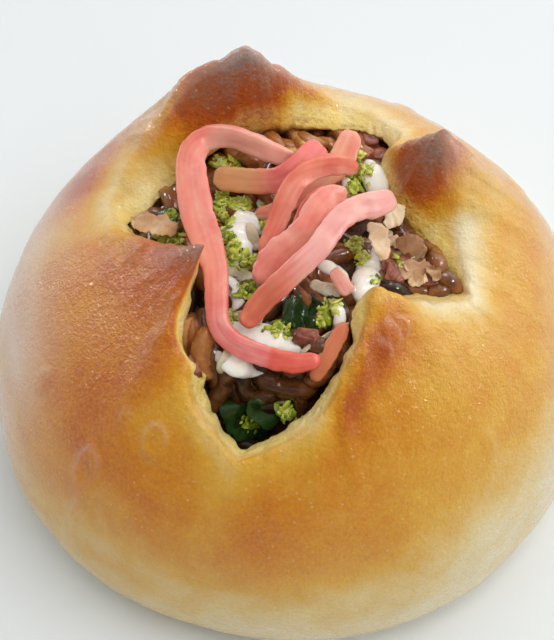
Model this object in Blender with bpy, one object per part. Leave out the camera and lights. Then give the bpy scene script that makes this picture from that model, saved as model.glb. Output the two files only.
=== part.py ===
# A round baked bun cut open crosswise on top. Four peaked flaps of crust stand around the opening.
# The noodle filling shows through it, with pink pickled ginger strips and thin fish flakes on top.
# Lengths below are in millimetres and are turned into metres when a mesh is made.
# +Z is up, the bun stands on z = 0, and -Y is the side where the deepest notch of the cut opens.
import math
import random

import bmesh
import bpy
import numpy as np
from mathutils import Vector, noise

MM = 0.001

for old in list(bpy.data.objects):
    bpy.data.objects.remove(old, do_unlink=True)

# Bread: the dome, its widest ring, its foot and its walls.
DOME_RADIUS = 50.0
DOME_TOP = 56.0
DOME_POWER = 2.317
FOOT_RADIUS = 33.5
FOOT_ROUNDNESS = 0.9
LIFT_WIDTH = 10.0
LIFT_POWER = 1.35
CRUST_WALL = 4.2
SIDE_WALL = 9.5
CAVITY_MID = 24.0
CAVITY_FLOOR = 10.0
CAVITY_FLOOR_RADIUS = 29.0
COLUMNS = 96
DOME_RINGS = 9
FOOT_RINGS = 5
LIP_RINGS = 3
CAVITY_RINGS = 4
CAVITY_LOW_RINGS = 2

# Places where the widest ring stands in or out, seen from above: direction in degrees and share of the radius.
PLAN_BULGES = [(-118, -0.038), (-60, 0.030)]

# Clearances of the filling from the bread.
FILLING_GAP = 1.4
SPACE_GAP = 1.25

# The cut edge, counter-clockwise seen from above, starting at the right notch.
# Each row: outer ridge of the cut, inner edge where the filling begins, how pointed the ridge is.
EDGE = [
    ((27.4, -11.2, 49.3), (26.1, -8.0, 46.6), 0.5),
    ((25.9, 0.7, 53.0), (22.4, -2.6, 48.5), 0.0),
    ((22.9, 7.7, 66.0), (16.4, 5.8, 51.0), 0.9),
    ((16.2, 12.4, 57.4), (14.6, 13.6, 51.2), 0.0),
    ((18.0, 19.6, 53.0), (16.2, 18.8, 50.6), 0.2),
    ((13.4, 25.2, 52.0), (13.2, 22.2, 50.0), 0.4),
    ((5.3, 26.4, 54.2), (4.6, 22.4, 50.6), 0.0),
    ((-6.6, 21.3, 69.5), (-5.2, 19.4, 55.0), 0.8),
    ((-15.7, 21.3, 63.5), (-13.8, 15.8, 50.8), 0.55),
    ((-19.4, 18.8, 58.2), (-17.0, 13.2, 50.0), 0.1),
    ((-23.9, 15.2, 54.0), (-19.5, 10.3, 49.5), 0.0),
    ((-26.8, 11.0, 51.6), (-22.2, 6.7, 49.3), 0.2),
    ((-29.0, 5.8, 50.0), (-25.4, 4.2, 48.2), 0.3),
    ((-26.2, -1.6, 53.8), (-23.4, 0.6, 49.4), 0.0),
    ((-21.0, -6.1, 57.2), (-20.0, -2.6, 50.8), 0.1),
    ((-13.6, -11.2, 60.5), (-13.9, -9.3, 56.2), 0.9),
    ((-17.1, -20.8, 55.5), (-15.8, -21.8, 51.8), 0.0),
    ((-15.4, -25.6, 52.2), (-12.9, -24.8, 49.2), 0.1),
    ((-13.8, -30.6, 48.5), (-12.1, -27.4, 46.0), 0.0),
    ((-7.5, -37.1, 44.5), (-6.9, -33.6, 42.4), 0.6),
    ((3.6, -33.6, 48.4), (1.7, -30.4, 46.0), 0.0),
    ((9.8, -24.7, 55.6), (8.4, -23.2, 52.0), 0.0),
    ((12.6, -16.9, 60.0), (9.6, -17.4, 54.8), 0.7),
    ((19.3, -15.3, 53.5), (17.6, -11.0, 50.0), 0.1),
]

# Filling heap: height of its top, and the deep hollow at the front of the cut.
HEAP_TOP = 50.6
HEAP_FALL = 0.0058
HEAP_RINGS = 6
HOLLOW_DEPTH = 12.5
HOLLOW_START = -21.5
HOLLOW_LENGTH = 7.0
NOODLE_RADIUS = 1.5
NOODLE_SIDES = 6

# Direction that the broad faces of the toppings turn to: forward and up.
FACING = Vector((0.0, -math.cos(math.radians(54)), math.sin(math.radians(54))))


def new_collection(name):
    group = bpy.data.collections.new(name)
    bpy.context.scene.collection.children.link(group)
    return group


parts = new_collection("yakisoba_bun")
cutters = new_collection("cutters")


def material(name, colour, roughness):
    made = bpy.data.materials.new(name)
    made.use_nodes = True
    shader = made.node_tree.nodes["Principled BSDF"]
    shader.inputs["Base Color"].default_value = (*colour, 1.0)
    shader.inputs["Roughness"].default_value = roughness
    shader.inputs["Metallic"].default_value = 0.0
    return made


def crust_material():
    return material("baked_crust", (0.62, 0.30, 0.07), 0.4)


def filling_material():
    return material("noodle_filling", (0.30, 0.16, 0.07), 0.5)


def ginger_material():
    return material("pickled_ginger", (0.86, 0.36, 0.36), 0.35)


def fish_flake_material():
    return material("fish_flake", (0.66, 0.47, 0.34), 0.6)


def mesh_object(name, points, faces, group, look=None):
    """A closed mesh from points in millimetres, with its faces turned outward."""
    data = bpy.data.meshes.new(name)
    data.from_pydata([tuple(float(v) * MM for v in p) for p in points], [], faces)
    body = bmesh.new()
    body.from_mesh(data)
    bmesh.ops.recalc_face_normals(body, faces=body.faces)
    body.to_mesh(data)
    body.free()
    made = bpy.data.objects.new(name, data)
    group.objects.link(made)
    if look is not None:
        data.materials.append(look)
    if group == cutters:
        made.hide_render = True
        made.display_type = "WIRE"
    return made


def loft(rings, first=None, last=None):
    """Points and faces of a closed skin through rings of equal length, capped at both ends."""
    count = len(rings[0])
    points = [tuple(p) for ring in rings for p in ring]
    faces = []
    for row in range(len(rings) - 1):
        for col in range(count):
            after = (col + 1) % count
            low = row * count
            high = low + count
            faces.append((low + col, low + after, high + after))
            faces.append((low + col, high + after, high + col))
    top = (len(rings) - 1) * count
    if first is None:
        faces.append(tuple(reversed(range(count))))
    else:
        points.append(tuple(first))
        hub = len(points) - 1
        faces.extend((hub, (c + 1) % count, c) for c in range(count))
    if last is None:
        faces.append(tuple(top + c for c in range(count)))
    else:
        points.append(tuple(last))
        hub = len(points) - 1
        faces.extend((hub, top + c, top + (c + 1) % count) for c in range(count))
    return points, faces


def plan_radius(angle):
    """Radius of the widest ring, which is a little uneven seen from above."""
    wave = 0.012 * np.cos(2 * angle) + 0.024 * np.sin(2 * angle)
    wave = wave + 0.010 * np.cos(3 * angle) - 0.003 * np.sin(3 * angle)
    for facing, amount in PLAN_BULGES:
        wave = wave + amount * np.exp(5.3 * (np.cos(angle - math.radians(facing)) - 1))
    return DOME_RADIUS * (1 + wave)


def widest_height(angle):
    return 13.2 - 2.4 * np.cos(angle) + 1.8 * np.sin(angle)


def dome_point(angle, tilt):
    """Point of the plain dome: tilt runs from 0 at the widest ring to a quarter turn at the top."""
    radius = plan_radius(angle) * np.cos(tilt) ** (2 / DOME_POWER)
    low = widest_height(angle)
    height = low + (DOME_TOP - low) * np.sin(tilt) ** (2 / DOME_POWER)
    return np.stack([radius * np.cos(angle), radius * np.sin(angle), height], -1)


def dome_height(x, y):
    angle = np.arctan2(y, x)
    share = np.clip(1 - (np.hypot(x, y) / plan_radius(angle)) ** DOME_POWER, 0, None)
    low = widest_height(angle)
    return low + (DOME_TOP - low) * share ** (1 / DOME_POWER)


def edge_curves(columns):
    """Sample both edges of the cut at matching places, with every station of EDGE on a column."""
    outer = np.array([row[0] for row in EDGE])
    inner = np.array([row[1] for row in EDGE])
    sharp = np.array([row[2] for row in EDGE])
    total = len(EDGE)
    steps = np.linalg.norm(np.roll(outer, -1, 0) - outer, axis=1)
    turns = np.unwrap(np.append(np.arctan2(outer[:, 1], outer[:, 0]), np.arctan2(outer[0, 1], outer[0, 0])))
    turns = np.diff(turns)
    weight = 0.5 * steps / steps.sum() + 0.5 * turns / turns.sum()
    tops = []
    feet = []
    for i in range(total):
        j = (i + 1) % total
        count = max(2, round(weight[i] * columns))
        for k in range(count):
            t = k / count
            tops.append(hermite(outer, sharp, i, j, t))
            feet.append(hermite(inner, sharp * 0.6, i, j, t))
    return np.array(tops), np.array(feet)


def hermite(points, sharp, i, j, t):
    total = len(points)
    start = (points[j] - points[i - 1]) * 0.5 * (1 - sharp[i])
    end = (points[(j + 1) % total] - points[i]) * 0.5 * (1 - sharp[j])
    return (
        points[i] * (2 * t**3 - 3 * t**2 + 1)
        + start * (t**3 - 2 * t**2 + t)
        + points[j] * (3 * t**2 - 2 * t**3)
        + end * (t**3 - t**2)
    )


def smooth_step(t):
    t = np.clip(t, 0, 1)
    return t * t * (3 - 2 * t)


def bread_rings(columns):
    """All rings of the bread, from the foot up over the dome, over the cut edge and down the hollow."""
    ridge, brink = edge_curves(columns)
    total = len(ridge)
    ridge_angle = np.unwrap(np.arctan2(ridge[:, 1], ridge[:, 0]))
    even = np.linspace(0, 2 * np.pi, total, endpoint=False)
    even = even + np.mean(ridge_angle - even)
    reach = np.hypot(ridge[:, 0], ridge[:, 1])
    ridge_tilt = np.arccos(np.clip((reach / plan_radius(ridge_angle)) ** (DOME_POWER / 2), 0, 1))
    lift = ridge[:, 2] - dome_height(ridge[:, 0], ridge[:, 1])

    outside = []
    for k in range(FOOT_RINGS):
        a = 0.5 * np.pi * k / FOOT_RINGS
        grown = plan_radius(even)
        foot = FOOT_RADIUS * grown / DOME_RADIUS
        radius = foot + (grown - foot) * math.sin(a) ** FOOT_ROUNDNESS
        height = widest_height(even) * (1 - math.cos(a) ** FOOT_ROUNDNESS)
        outside.append(np.stack([radius * np.cos(even), radius * np.sin(even), height], -1))
    for k in range(DOME_RINGS):
        t = (1 - k / DOME_RINGS) ** 1.25
        angle = ridge_angle + (even - ridge_angle) * smooth_step(t)
        ring = dome_point(angle, ridge_tilt * (1 - t))
        away = np.hypot(ring[:, 0] - ridge[:, 0], ring[:, 1] - ridge[:, 1])
        ring[:, 2] += lift * np.exp(-((away / LIFT_WIDTH) ** LIFT_POWER))
        outside.append(ring)
    outside.append(ridge)

    inside = []
    span = np.linalg.norm(ridge - brink, axis=1)
    inward = -np.stack([np.cos(ridge_angle), np.sin(ridge_angle)], -1)
    for k in range(1, LIP_RINGS):
        t = k / LIP_RINGS
        ring = ridge + (brink - ridge) * t
        swell = 0.16 * np.minimum(span, 4.0) * math.sin(math.pi * t)
        ring[:, :2] += inward * swell[:, None]
        ring[:, 2] += 0.5 * swell
        inside.append(ring)
    inside.append(brink)

    brink_angle = np.unwrap(np.arctan2(brink[:, 1], brink[:, 0]))
    brink_reach = np.hypot(brink[:, 0], brink[:, 1])
    belly = plan_radius(even) - SIDE_WALL
    for k in range(1, CAVITY_RINGS + 1):
        a = 0.5 * np.pi * k / CAVITY_RINGS
        t = k / CAVITY_RINGS
        angle = brink_angle + (even - brink_angle) * smooth_step(t)
        radius = brink_reach + (belly - brink_reach) * math.sin(a)
        x = radius * np.cos(angle)
        y = radius * np.sin(angle)
        height = CAVITY_MID + (brink[:, 2] - CAVITY_MID) * math.cos(a)
        height = np.minimum(height, dome_height(x, y) - CRUST_WALL)
        inside.append(np.stack([x, y, height], -1))
    for k in range(1, CAVITY_LOW_RINGS + 1):
        a = 0.5 * np.pi * k / CAVITY_LOW_RINGS
        radius = CAVITY_FLOOR_RADIUS + (belly - CAVITY_FLOOR_RADIUS) * math.cos(a)
        height = np.full(total, CAVITY_MID - (CAVITY_MID - CAVITY_FLOOR) * math.sin(a))
        inside.append(np.stack([radius * np.cos(even), radius * np.sin(even), height], -1))
    return outside, inside


def offset_rings(rings, distance):
    """Rings moved off the skin by distance, to the side of the hollow."""
    grid = np.array(rings)
    along = np.roll(grid, -1, 1) - np.roll(grid, 1, 1)
    down = np.gradient(grid, axis=0)
    normal = np.cross(along, down)
    normal /= np.linalg.norm(normal, axis=2, keepdims=True)
    return list(grid + normal * distance)


def make_bread():
    outside, inside = bread_rings(COLUMNS)
    points, faces = loft(outside + inside, first=(0, 0, 0), last=(0, 0, CAVITY_FLOOR))
    bread = mesh_object("bread_bun", points, faces, parts, crust_material())
    bread.data.shade_smooth()
    bread.data.set_sharp_from_angle(angle=math.radians(50))
    return inside


def heap_height(x, y):
    drop = smooth_step((HOLLOW_START - y) / HOLLOW_LENGTH)
    run = y * 0.6 if y < 0 else y
    rough = 0.5 * noise.noise(Vector((x * 0.2, y * 0.2, 3.0)))
    return HEAP_TOP - HEAP_FALL * (x * x + run * run) - HOLLOW_DEPTH * drop + rough


def make_heap(inside):
    """The plain core of the filling, which fits the hollow with a gap all round."""
    rings = offset_rings(inside, FILLING_GAP)[LIP_RINGS:]
    edge = rings[0]
    centre = np.array([0.0, -1.0])
    tops = []
    for k in range(1, HEAP_RINGS):
        scale = 1 - k / HEAP_RINGS
        ring = []
        for p in edge[::2]:
            x, y = centre + (p[:2] - centre) * scale
            ring.append((x, y, heap_height(x, y)))
        tops.append(ring)
    body = [ring[::2] for ring in rings]
    rows = list(reversed(tops)) + [list(map(tuple, ring)) for ring in body]
    top = (0.0, -1.0, heap_height(0, -1))
    low = (0.0, 0.0, CAVITY_FLOOR + FILLING_GAP)
    points, faces = loft(rows, first=top, last=low)
    return mesh_object("noodle_filling", points, faces, parts, filling_material())


def make_free_space(inside):
    """The room inside the bread and straight above its opening, for trimming the filling."""
    rings = offset_rings(inside, SPACE_GAP)
    above = rings[0].copy()
    above[:, 2] = 90.0
    rows = [above] + rings
    points, faces = loft(rows, last=(0.0, 0.0, CAVITY_FLOOR + SPACE_GAP))
    return mesh_object("free_space", points, faces, cutters)


def on_heap(route):
    return [(x, y, heap_height(x, y) + over) for x, y, over in route]


def tube(name, route, radius, sides, group, flatten=1.0, closed_ends=0.55):
    """A strand along a route of points in millimetres, with rounded ends."""
    points = [Vector(p) for p in route]
    rings = []
    for i, centre in enumerate(points):
        ahead = points[min(i + 1, len(points) - 1)] - points[max(i - 1, 0)]
        ahead.normalize()
        across = ahead.cross(FACING)
        across.normalize()
        over = across.cross(ahead)
        size = radius[i] if isinstance(radius, (list, tuple)) else radius
        if i in (0, len(points) - 1):
            size *= closed_ends
        ring = []
        for k in range(sides):
            a = 2 * math.pi * k / sides
            ring.append(centre + across * (size * math.cos(a)) + over * (size * flatten * math.sin(a)))
        rings.append(ring)
    skin, faces = loft(rings)
    return mesh_object(name, skin, faces, group)


def rounded_route(route, per_span):
    """A smooth route through the points given."""
    fixed = [np.array(p, float) for p in route]
    made = []
    for i in range(len(fixed) - 1):
        before = fixed[max(i - 1, 0)]
        after = fixed[min(i + 2, len(fixed) - 1)]
        start = (fixed[i + 1] - before) * 0.5
        end = (after - fixed[i]) * 0.5
        for k in range(per_span):
            t = k / per_span
            made.append(
                fixed[i] * (2 * t**3 - 3 * t**2 + 1)
                + start * (t**3 - 2 * t**2 + t)
                + fixed[i + 1] * (3 * t**2 - 2 * t**3)
                + end * (t**3 - t**2)
            )
    made.append(fixed[-1])
    return [tuple(p) for p in made]


# Noodles that can be told apart in the opening: x, y and height of their middle over the heap.
NOODLES = [
    [(-7.6, 16.4, -0.4), (-5.4, 18.6, 0.9), (-2.4, 19.2, 1.2), (1.4, 18.6, 1.0), (4.4, 16.6, -0.4)],
    [(-1.6, 13.6, -0.4), (0.4, 16.4, 0.8), (2.8, 18.8, 1.3), (4.0, 20.0, -0.2)],
    [(-6.0, 13.4, 0.2), (-5.2, 15.6, 2.6), (-4.6, 17.4, 4.6)],
    [(8.4, 12.0, -0.4), (10.8, 14.4, 0.8), (12.2, 16.6, 0.6), (12.0, 18.4, -0.6)],
    [(12.4, 8.6, -0.4), (13.4, 12.0, 0.9), (12.6, 15.0, 0.6)],
    [(-22.4, 7.6, -0.4), (-20.0, 9.0, 0.9), (-17.0, 10.0, 0.8), (-13.4, 9.0, -0.2)],
    [(-23.4, 1.4, -0.4), (-20.0, 2.6, 0.9), (-16.0, 1.8, 0.9), (-12.8, -1.4, -0.4)],
    [(-13.0, -13.6, -0.2), (-13.2, -17.4, 0.6), (-11.8, -21.4, 0.9), (-10.6, -24.4, 0.7), (-9.8, -27.0, -0.3)],
    [(-9.4, -17.8, -0.4), (-9.0, -22.0, 0.8), (-7.8, -25.0, 0.9), (-6.8, -27.8, -0.2)],
    [(-4.0, -20.0, -0.4), (-4.2, -23.4, 0.7), (-2.4, -26.4, 0.9), (0.2, -28.6, -0.3)],
    [(0.8, -20.0, -0.4), (1.6, -23.4, 0.7), (0.4, -26.2, 0.9), (-2.6, -29.0, -0.3)],
    [(3.6, -18.6, -0.6), (3.8, -21.4, 0.2), (2.8, -24.6, 0.3), (2.0, -27.0, -0.4)],
    [(17.6, -8.2, -0.4), (20.4, -6.6, 0.9), (22.0, -4.4, 0.7), (21.0, -1.6, -0.4)],
    [(15.6, 1.0, -0.4), (18.4, -2.4, 0.9), (21.2, -6.0, 0.4)],
    [(5.6, -12.6, -0.4), (9.4, -12.4, 0.9), (12.8, -10.0, 0.8), (15.0, -6.6, -0.4)],
]

# Thick streams and drops of dressing: x, y and height over the heap, and how thick.
DRESSING = [
    ([(-8.6, 0.4, -0.2), (-7.9, -2.0, 0.9), (-8.4, -4.6, 0.9), (-9.6, -7.6, -0.2)], 1.5),
    ([(-8.0, -17.2, -0.2), (-4.6, -18.6, 1.0), (-0.8, -18.8, 1.0), (3.0, -18.0, -0.2)], 1.5),
    ([(-9.2, -20.6, -0.2), (-6.6, -22.2, 0.9), (-3.4, -22.6, -0.1)], 1.4),
    ([(11.0, 7.4, -0.2), (12.6, 6.4, 1.2), (13.4, 4.4, -0.2)], 2.0),
    ([(11.0, -6.6, -0.2), (11.8, -8.6, 0.9), (12.2, -11.0, -0.2)], 2.0),
    ([(-5.4, 18.0, -0.2), (-4.6, 15.6, 1.2), (-4.4, 13.4, -0.2)], 1.3),
]

# Clumps of green seaweed powder and leaf: x, y, height over the heap, and size.
GREEN = [
    (-9.4, 3.2, 0.6, 2.2),
    (-5.6, -1.0, 0.6, 1.9),
    (-9.0, -9.4, 0.6, 2.2),
    (-5.6, -9.6, 0.6, 1.9),
    (-17.6, 3.6, 1.0, 2.0),
    (10.2, 5.0, 0.6, 1.6),
    (10.4, -4.8, 0.6, 1.6),
    (-3.8, -14.4, 0.6, 2.2),
    (3.2, -14.8, 0.6, 2.8),
    (7.2, -14.6, 0.6, 1.8),
    (-4.8, -25.8, 0.8, 2.6),
    (-8.6, 11.0, 0.6, 2.0),
]


def seaweed_clump(name, place, size, group):
    body = bmesh.new()
    bmesh.ops.create_icosphere(body, subdivisions=1, radius=1.0)
    points = []
    for vertex in body.verts:
        rough = 1 + 0.35 * noise.noise(vertex.co * 2.0 + Vector(place))
        x, y, z = vertex.co * rough * size
        points.append((place[0] + x, place[1] + y, place[2] + z * 0.5))
    faces = [tuple(v.index for v in face.verts) for face in body.faces]
    body.free()
    return mesh_object(name, points, faces, group)


def keep_largest_body(piece):
    """Split the faces into triangles and drop crumbs that trimming has cut loose."""
    body = bmesh.new()
    body.from_mesh(piece.data)
    bmesh.ops.triangulate(body, faces=body.faces)
    left = set(body.verts)
    groups = []
    while left:
        seed = left.pop()
        found = {seed}
        queue = [seed]
        while queue:
            here = queue.pop()
            for link in here.link_edges:
                other = link.other_vert(here)
                if other not in found:
                    found.add(other)
                    queue.append(other)
        left -= found
        groups.append(found)
    groups.sort(key=len)
    for crumb in groups[:-1]:
        bmesh.ops.delete(body, geom=list(crumb), context="VERTS")
    body.to_mesh(piece.data)
    body.free()


def apply_boolean(piece, operation, group=None, single=None):
    change = piece.modifiers.new(operation.lower(), "BOOLEAN")
    change.operation = operation
    change.solver = "MANIFOLD"
    if group is not None:
        change.operand_type = "COLLECTION"
        change.collection = group
    else:
        change.object = single
    bpy.context.view_layer.update()
    ready = bpy.data.meshes.new_from_object(piece.evaluated_get(bpy.context.evaluated_depsgraph_get()))
    piece.modifiers.clear()
    piece.data = ready


def make_filling(inside):
    heap = make_heap(inside)
    loose = new_collection("filling_pieces")
    for i, route in enumerate(NOODLES):
        tube(f"noodle_{i}", on_heap(rounded_route(route, 2)), NOODLE_RADIUS, NOODLE_SIDES, loose)
    chance = random.Random(11)
    for i in range(9):
        turn = 2 * math.pi * i / 9 + chance.uniform(-0.3, 0.3)
        reach = chance.uniform(4, 15)
        x = reach * math.cos(turn)
        y = reach * math.sin(turn) - 2
        heading = chance.uniform(0, 2 * math.pi)
        bend = chance.uniform(-0.5, 0.5)
        route = []
        for k in range(6):
            route.append((x, y, 1.2 * math.sin(math.pi * k / 5) - 0.5))
            x += 3.0 * math.cos(heading)
            y += 3.0 * math.sin(heading)
            heading += bend
        tube(f"strand_{i}", on_heap(route), NOODLE_RADIUS, NOODLE_SIDES, loose)
    for i, (route, size) in enumerate(DRESSING):
        tube(f"dressing_{i}", on_heap(rounded_route(route, 2)), size, 6, loose, flatten=0.75)
    for i, (x, y, over, size) in enumerate(GREEN):
        seaweed_clump(f"green_{i}", (x, y, heap_height(x, y) + over), size, loose)
    apply_boolean(heap, "UNION", group=loose)
    for piece in list(loose.objects):
        bpy.data.objects.remove(piece, do_unlink=True)
    bpy.data.collections.remove(loose)
    apply_boolean(heap, "INTERSECT", single=make_free_space(inside))
    keep_largest_body(heap)
    heap.data.materials.clear()
    heap.data.materials.append(filling_material())
    heap.data.shade_smooth()
    heap.data.set_sharp_from_angle(angle=math.radians(45))
    return heap


# Ginger strips: stations of x, y, z, width and turn in degrees about the strip's run.
STRIPS = {
    "ginger_long_loop": (
        1.7,
        [
            (1.3, 11.1, 55.6, 2.4, 20),
            (-2.8, 11.4, 57.0, 3.4, 30),
            (-6.3, 12.6, 58.0, 3.8, 40),
            (-10.0, 13.5, 58.6, 3.8, 40),
            (-13.5, 12.3, 58.9, 4.0, 20),
            (-15.2, 9.1, 58.6, 4.4, 0),
            (-15.0, 4.6, 57.8, 5.0, 0),
            (-14.0, -1.0, 56.8, 5.2, 0),
            (-12.2, -6.4, 55.8, 4.6, 0),
            (-11.1, -10.6, 55.0, 3.8, 0),
            (-10.8, -15.6, 54.6, 3.5, -10),
            (-10.4, -19.4, 54.2, 3.7, -20),
            (-8.8, -22.2, 54.0, 4.0, -20),
            (-6.0, -24.0, 53.8, 4.0, -10),
            (-2.6, -25.3, 53.6, 4.0, 0),
            (0.9, -26.0, 53.4, 3.8, 10),
            (4.4, -25.4, 53.4, 2.6, 10),
        ],
    ),
    "ginger_tan_end": (
        1.5,
        [
            (-11.9, 8.8, 54.4, 3.6, 0),
            (-8.3, 7.8, 54.7, 4.0, 0),
            (-4.8, 7.0, 55.3, 4.0, 0),
            (-1.6, 6.4, 56.4, 4.0, 0),
            (0.9, 7.6, 57.6, 3.8, 0),
            (3.2, 10.1, 57.8, 4.2, 0),
            (5.0, 13.0, 57.0, 3.6, 0),
        ],
    ),
    "ginger_behind": (
        1.4,
        [
            (9.9, 17.4, 55.6, 3.2, 0),
            (8.9, 14.0, 54.6, 4.2, 0),
            (7.2, 10.9, 53.9, 4.0, 0),
            (4.4, 8.4, 53.5, 3.4, 0),
            (0.8, 5.4, 52.9, 3.0, 0),
            (-2.6, 3.0, 52.8, 2.6, 0),
            (-5.2, 2.6, 52.8, 2.0, 0),
        ],
    ),
    "ginger_arch": (
        1.8,
        [
            (10.4, 6.6, 58.6, 1.8, 0),
            (8.0, 5.6, 60.6, 3.0, 20),
            (5.7, 4.6, 61.8, 3.4, 30),
            (3.0, 3.0, 62.2, 3.4, 20),
            (0.9, 1.0, 61.8, 3.4, 0),
            (-0.6, -1.2, 60.4, 3.4, 0),
            (-1.7, -3.2, 58.4, 3.2, 0),
            (-2.9, -5.2, 56.6, 2.8, 0),
            (-4.2, -7.4, 55.0, 1.8, 0),
        ],
    ),
    "ginger_arch_inner": (
        1.4,
        [
            (8.4, 2.6, 56.4, 2.6, 0),
            (5.4, 2.2, 57.2, 3.4, 0),
            (3.2, 0.2, 57.4, 3.0, 0),
            (1.8, -2.4, 56.8, 2.6, 0),
            (0.4, -4.6, 55.6, 2.0, 0),
        ],
    ),
    "ginger_broad": (
        1.8,
        [
            (8.6, 0.4, 59.0, 2.6, 0),
            (6.2, -0.7, 60.4, 4.0, 0),
            (4.2, -3.2, 60.6, 4.4, 0),
            (2.7, -5.8, 59.8, 4.2, 0),
            (0.9, -7.6, 58.6, 4.6, 0),
            (-1.5, -9.2, 57.2, 5.2, 0),
            (-3.1, -11.0, 55.8, 5.0, 0),
            (-4.2, -12.8, 54.6, 3.4, 0),
        ],
    ),
    "ginger_front_run": (
        1.7,
        [
            (15.8, -0.3, 59.8, 2.8, 0),
            (13.0, -2.8, 61.4, 4.0, 0),
            (10.1, -4.4, 62.4, 3.8, 0),
            (7.7, -6.5, 62.8, 3.6, 0),
            (5.8, -9.1, 62.6, 3.6, 0),
            (4.1, -11.9, 62.2, 3.6, 0),
            (1.4, -14.4, 61.2, 3.6, 0),
            (-1.5, -16.4, 59.4, 3.6, 0),
            (-3.9, -17.6, 57.2, 3.5, 0),
            (-5.6, -19.0, 55.4, 3.2, 0),
            (-6.6, -20.4, 54.6, 2.2, 0),
        ],
    ),
    "ginger_small_pale": (
        1.2,
        [
            (6.4, -10.6, 55.6, 1.8, 0),
            (7.8, -12.6, 54.8, 2.4, 0),
            (8.8, -14.2, 54.2, 2.2, 0),
        ],
    ),
    "ginger_lip_strip": (
        1.2,
        [
            (8.1, -18.9, 53.4, 1.6, 0),
            (7.2, -20.7, 52.8, 2.4, 0),
            (5.8, -22.9, 51.7, 2.6, 0),
            (4.4, -24.9, 50.2, 2.4, 0),
            (3.4, -26.1, 49.0, 1.6, 0),
        ],
    ),
}

# Fish flakes: stations of x, y, z, width and turn in degrees about the flake's run.
FLAKES = {
    "fish_flake_curled": (
        0.6,
        [
            (12.6, -2.4, 56.6, 2.4, 30),
            (13.4, -4.4, 56.2, 3.2, 20),
            (13.9, -6.6, 55.6, 2.6, 10),
            (14.0, -8.4, 55.0, 1.2, 0),
        ],
    ),
    "fish_flake_pale": (
        0.6,
        [
            (16.4, 2.6, 54.8, 2.0, 0),
            (16.2, 0.8, 55.0, 3.0, 10),
            (15.4, -1.2, 55.4, 2.6, 20),
            (14.8, -2.4, 55.6, 1.4, 20),
        ],
    ),
    "fish_flake_brown": (
        0.6,
        [
            (16.2, -3.8, 53.4, 1.8, -20),
            (18.2, -4.2, 53.6, 3.0, -10),
            (20.2, -4.6, 53.0, 2.4, 0),
        ],
    ),
    "fish_flake_notch": (
        0.6,
        [
            (16.6, -8.6, 52.6, 2.0, 10),
            (18.8, -8.0, 52.2, 3.2, 0),
            (20.8, -7.4, 51.4, 2.4, -10),
        ],
    ),
    "fish_flake_left": (
        0.6,
        [
            (-24.0, 0.8, 52.6, 2.0, 0),
            (-21.6, 0.2, 53.4, 3.2, 10),
            (-19.2, -0.6, 53.6, 3.0, 0),
            (-17.4, -1.2, 53.2, 1.6, 0),
        ],
    ),
}


def make_strip(name, thickness, stations, look, sides=8, waves=0.0):
    """A flat flexible strip with rounded edges, its broad face turned up and forward."""
    route = [Vector(s[:3]) for s in stations]
    rings = []
    for i, station in enumerate(stations):
        centre = route[i]
        ahead = route[min(i + 1, len(route) - 1)] - route[max(i - 1, 0)]
        ahead.normalize()
        across = ahead.cross(FACING)
        across.normalize()
        over = across.cross(ahead)
        turn = math.radians(station[4])
        wide = across * math.cos(turn) + over * math.sin(turn)
        thick = over * math.cos(turn) - across * math.sin(turn)
        depth = thickness * (0.7 if i in (0, len(route) - 1) else 1.0)
        ring = []
        for k in range(sides):
            a = 2 * math.pi * (k + 0.5) / sides
            u = math.copysign(abs(math.cos(a)) ** 0.6, math.cos(a))
            v = math.copysign(abs(math.sin(a)) ** 0.6, math.sin(a))
            wave = waves * math.sin(2.2 * u + 1.7 * i)
            ring.append(centre + wide * (0.5 * station[3] * u) + thick * (0.5 * depth * v + wave))
        rings.append(ring)
    points, faces = loft(rings)
    strip = mesh_object(name, points, faces, parts, look)
    strip.data.shade_smooth()
    strip.data.set_sharp_from_angle(angle=math.radians(60))
    return strip


def make_ginger():
    look = ginger_material()
    for name, (thickness, stations) in STRIPS.items():
        make_strip(name, thickness, stations, look)


def make_fish_flakes():
    look = fish_flake_material()
    for name, (thickness, stations) in FLAKES.items():
        make_strip(name, thickness, stations, look, sides=8, waves=0.25)


hollow = make_bread()
make_filling(hollow)
make_ginger()
make_fish_flakes()
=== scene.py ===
"""Looks for a round baked bun, cut open crosswise and filled with fried noodles.

Lengths in this script are in millimetres and become metres when a mesh is made.
+Z is up and -Y is the side of the deepest notch, which faces the camera.
"""

import math
import random

import bmesh
import bpy
import numpy as np
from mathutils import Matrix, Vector, noise
from mathutils.bvhtree import BVHTree


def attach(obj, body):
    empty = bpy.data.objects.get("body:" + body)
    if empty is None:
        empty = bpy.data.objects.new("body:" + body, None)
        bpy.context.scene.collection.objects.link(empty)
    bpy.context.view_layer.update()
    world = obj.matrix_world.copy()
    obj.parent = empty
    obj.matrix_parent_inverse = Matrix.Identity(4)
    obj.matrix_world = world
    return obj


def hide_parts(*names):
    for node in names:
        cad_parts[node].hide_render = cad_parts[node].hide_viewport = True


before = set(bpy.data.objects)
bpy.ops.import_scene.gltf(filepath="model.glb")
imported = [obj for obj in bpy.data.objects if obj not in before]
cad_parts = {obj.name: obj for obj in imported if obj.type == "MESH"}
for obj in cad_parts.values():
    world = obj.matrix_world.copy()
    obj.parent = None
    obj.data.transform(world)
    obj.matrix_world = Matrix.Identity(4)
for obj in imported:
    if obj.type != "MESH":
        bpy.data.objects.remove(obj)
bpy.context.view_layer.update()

MM = 0.001

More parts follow.
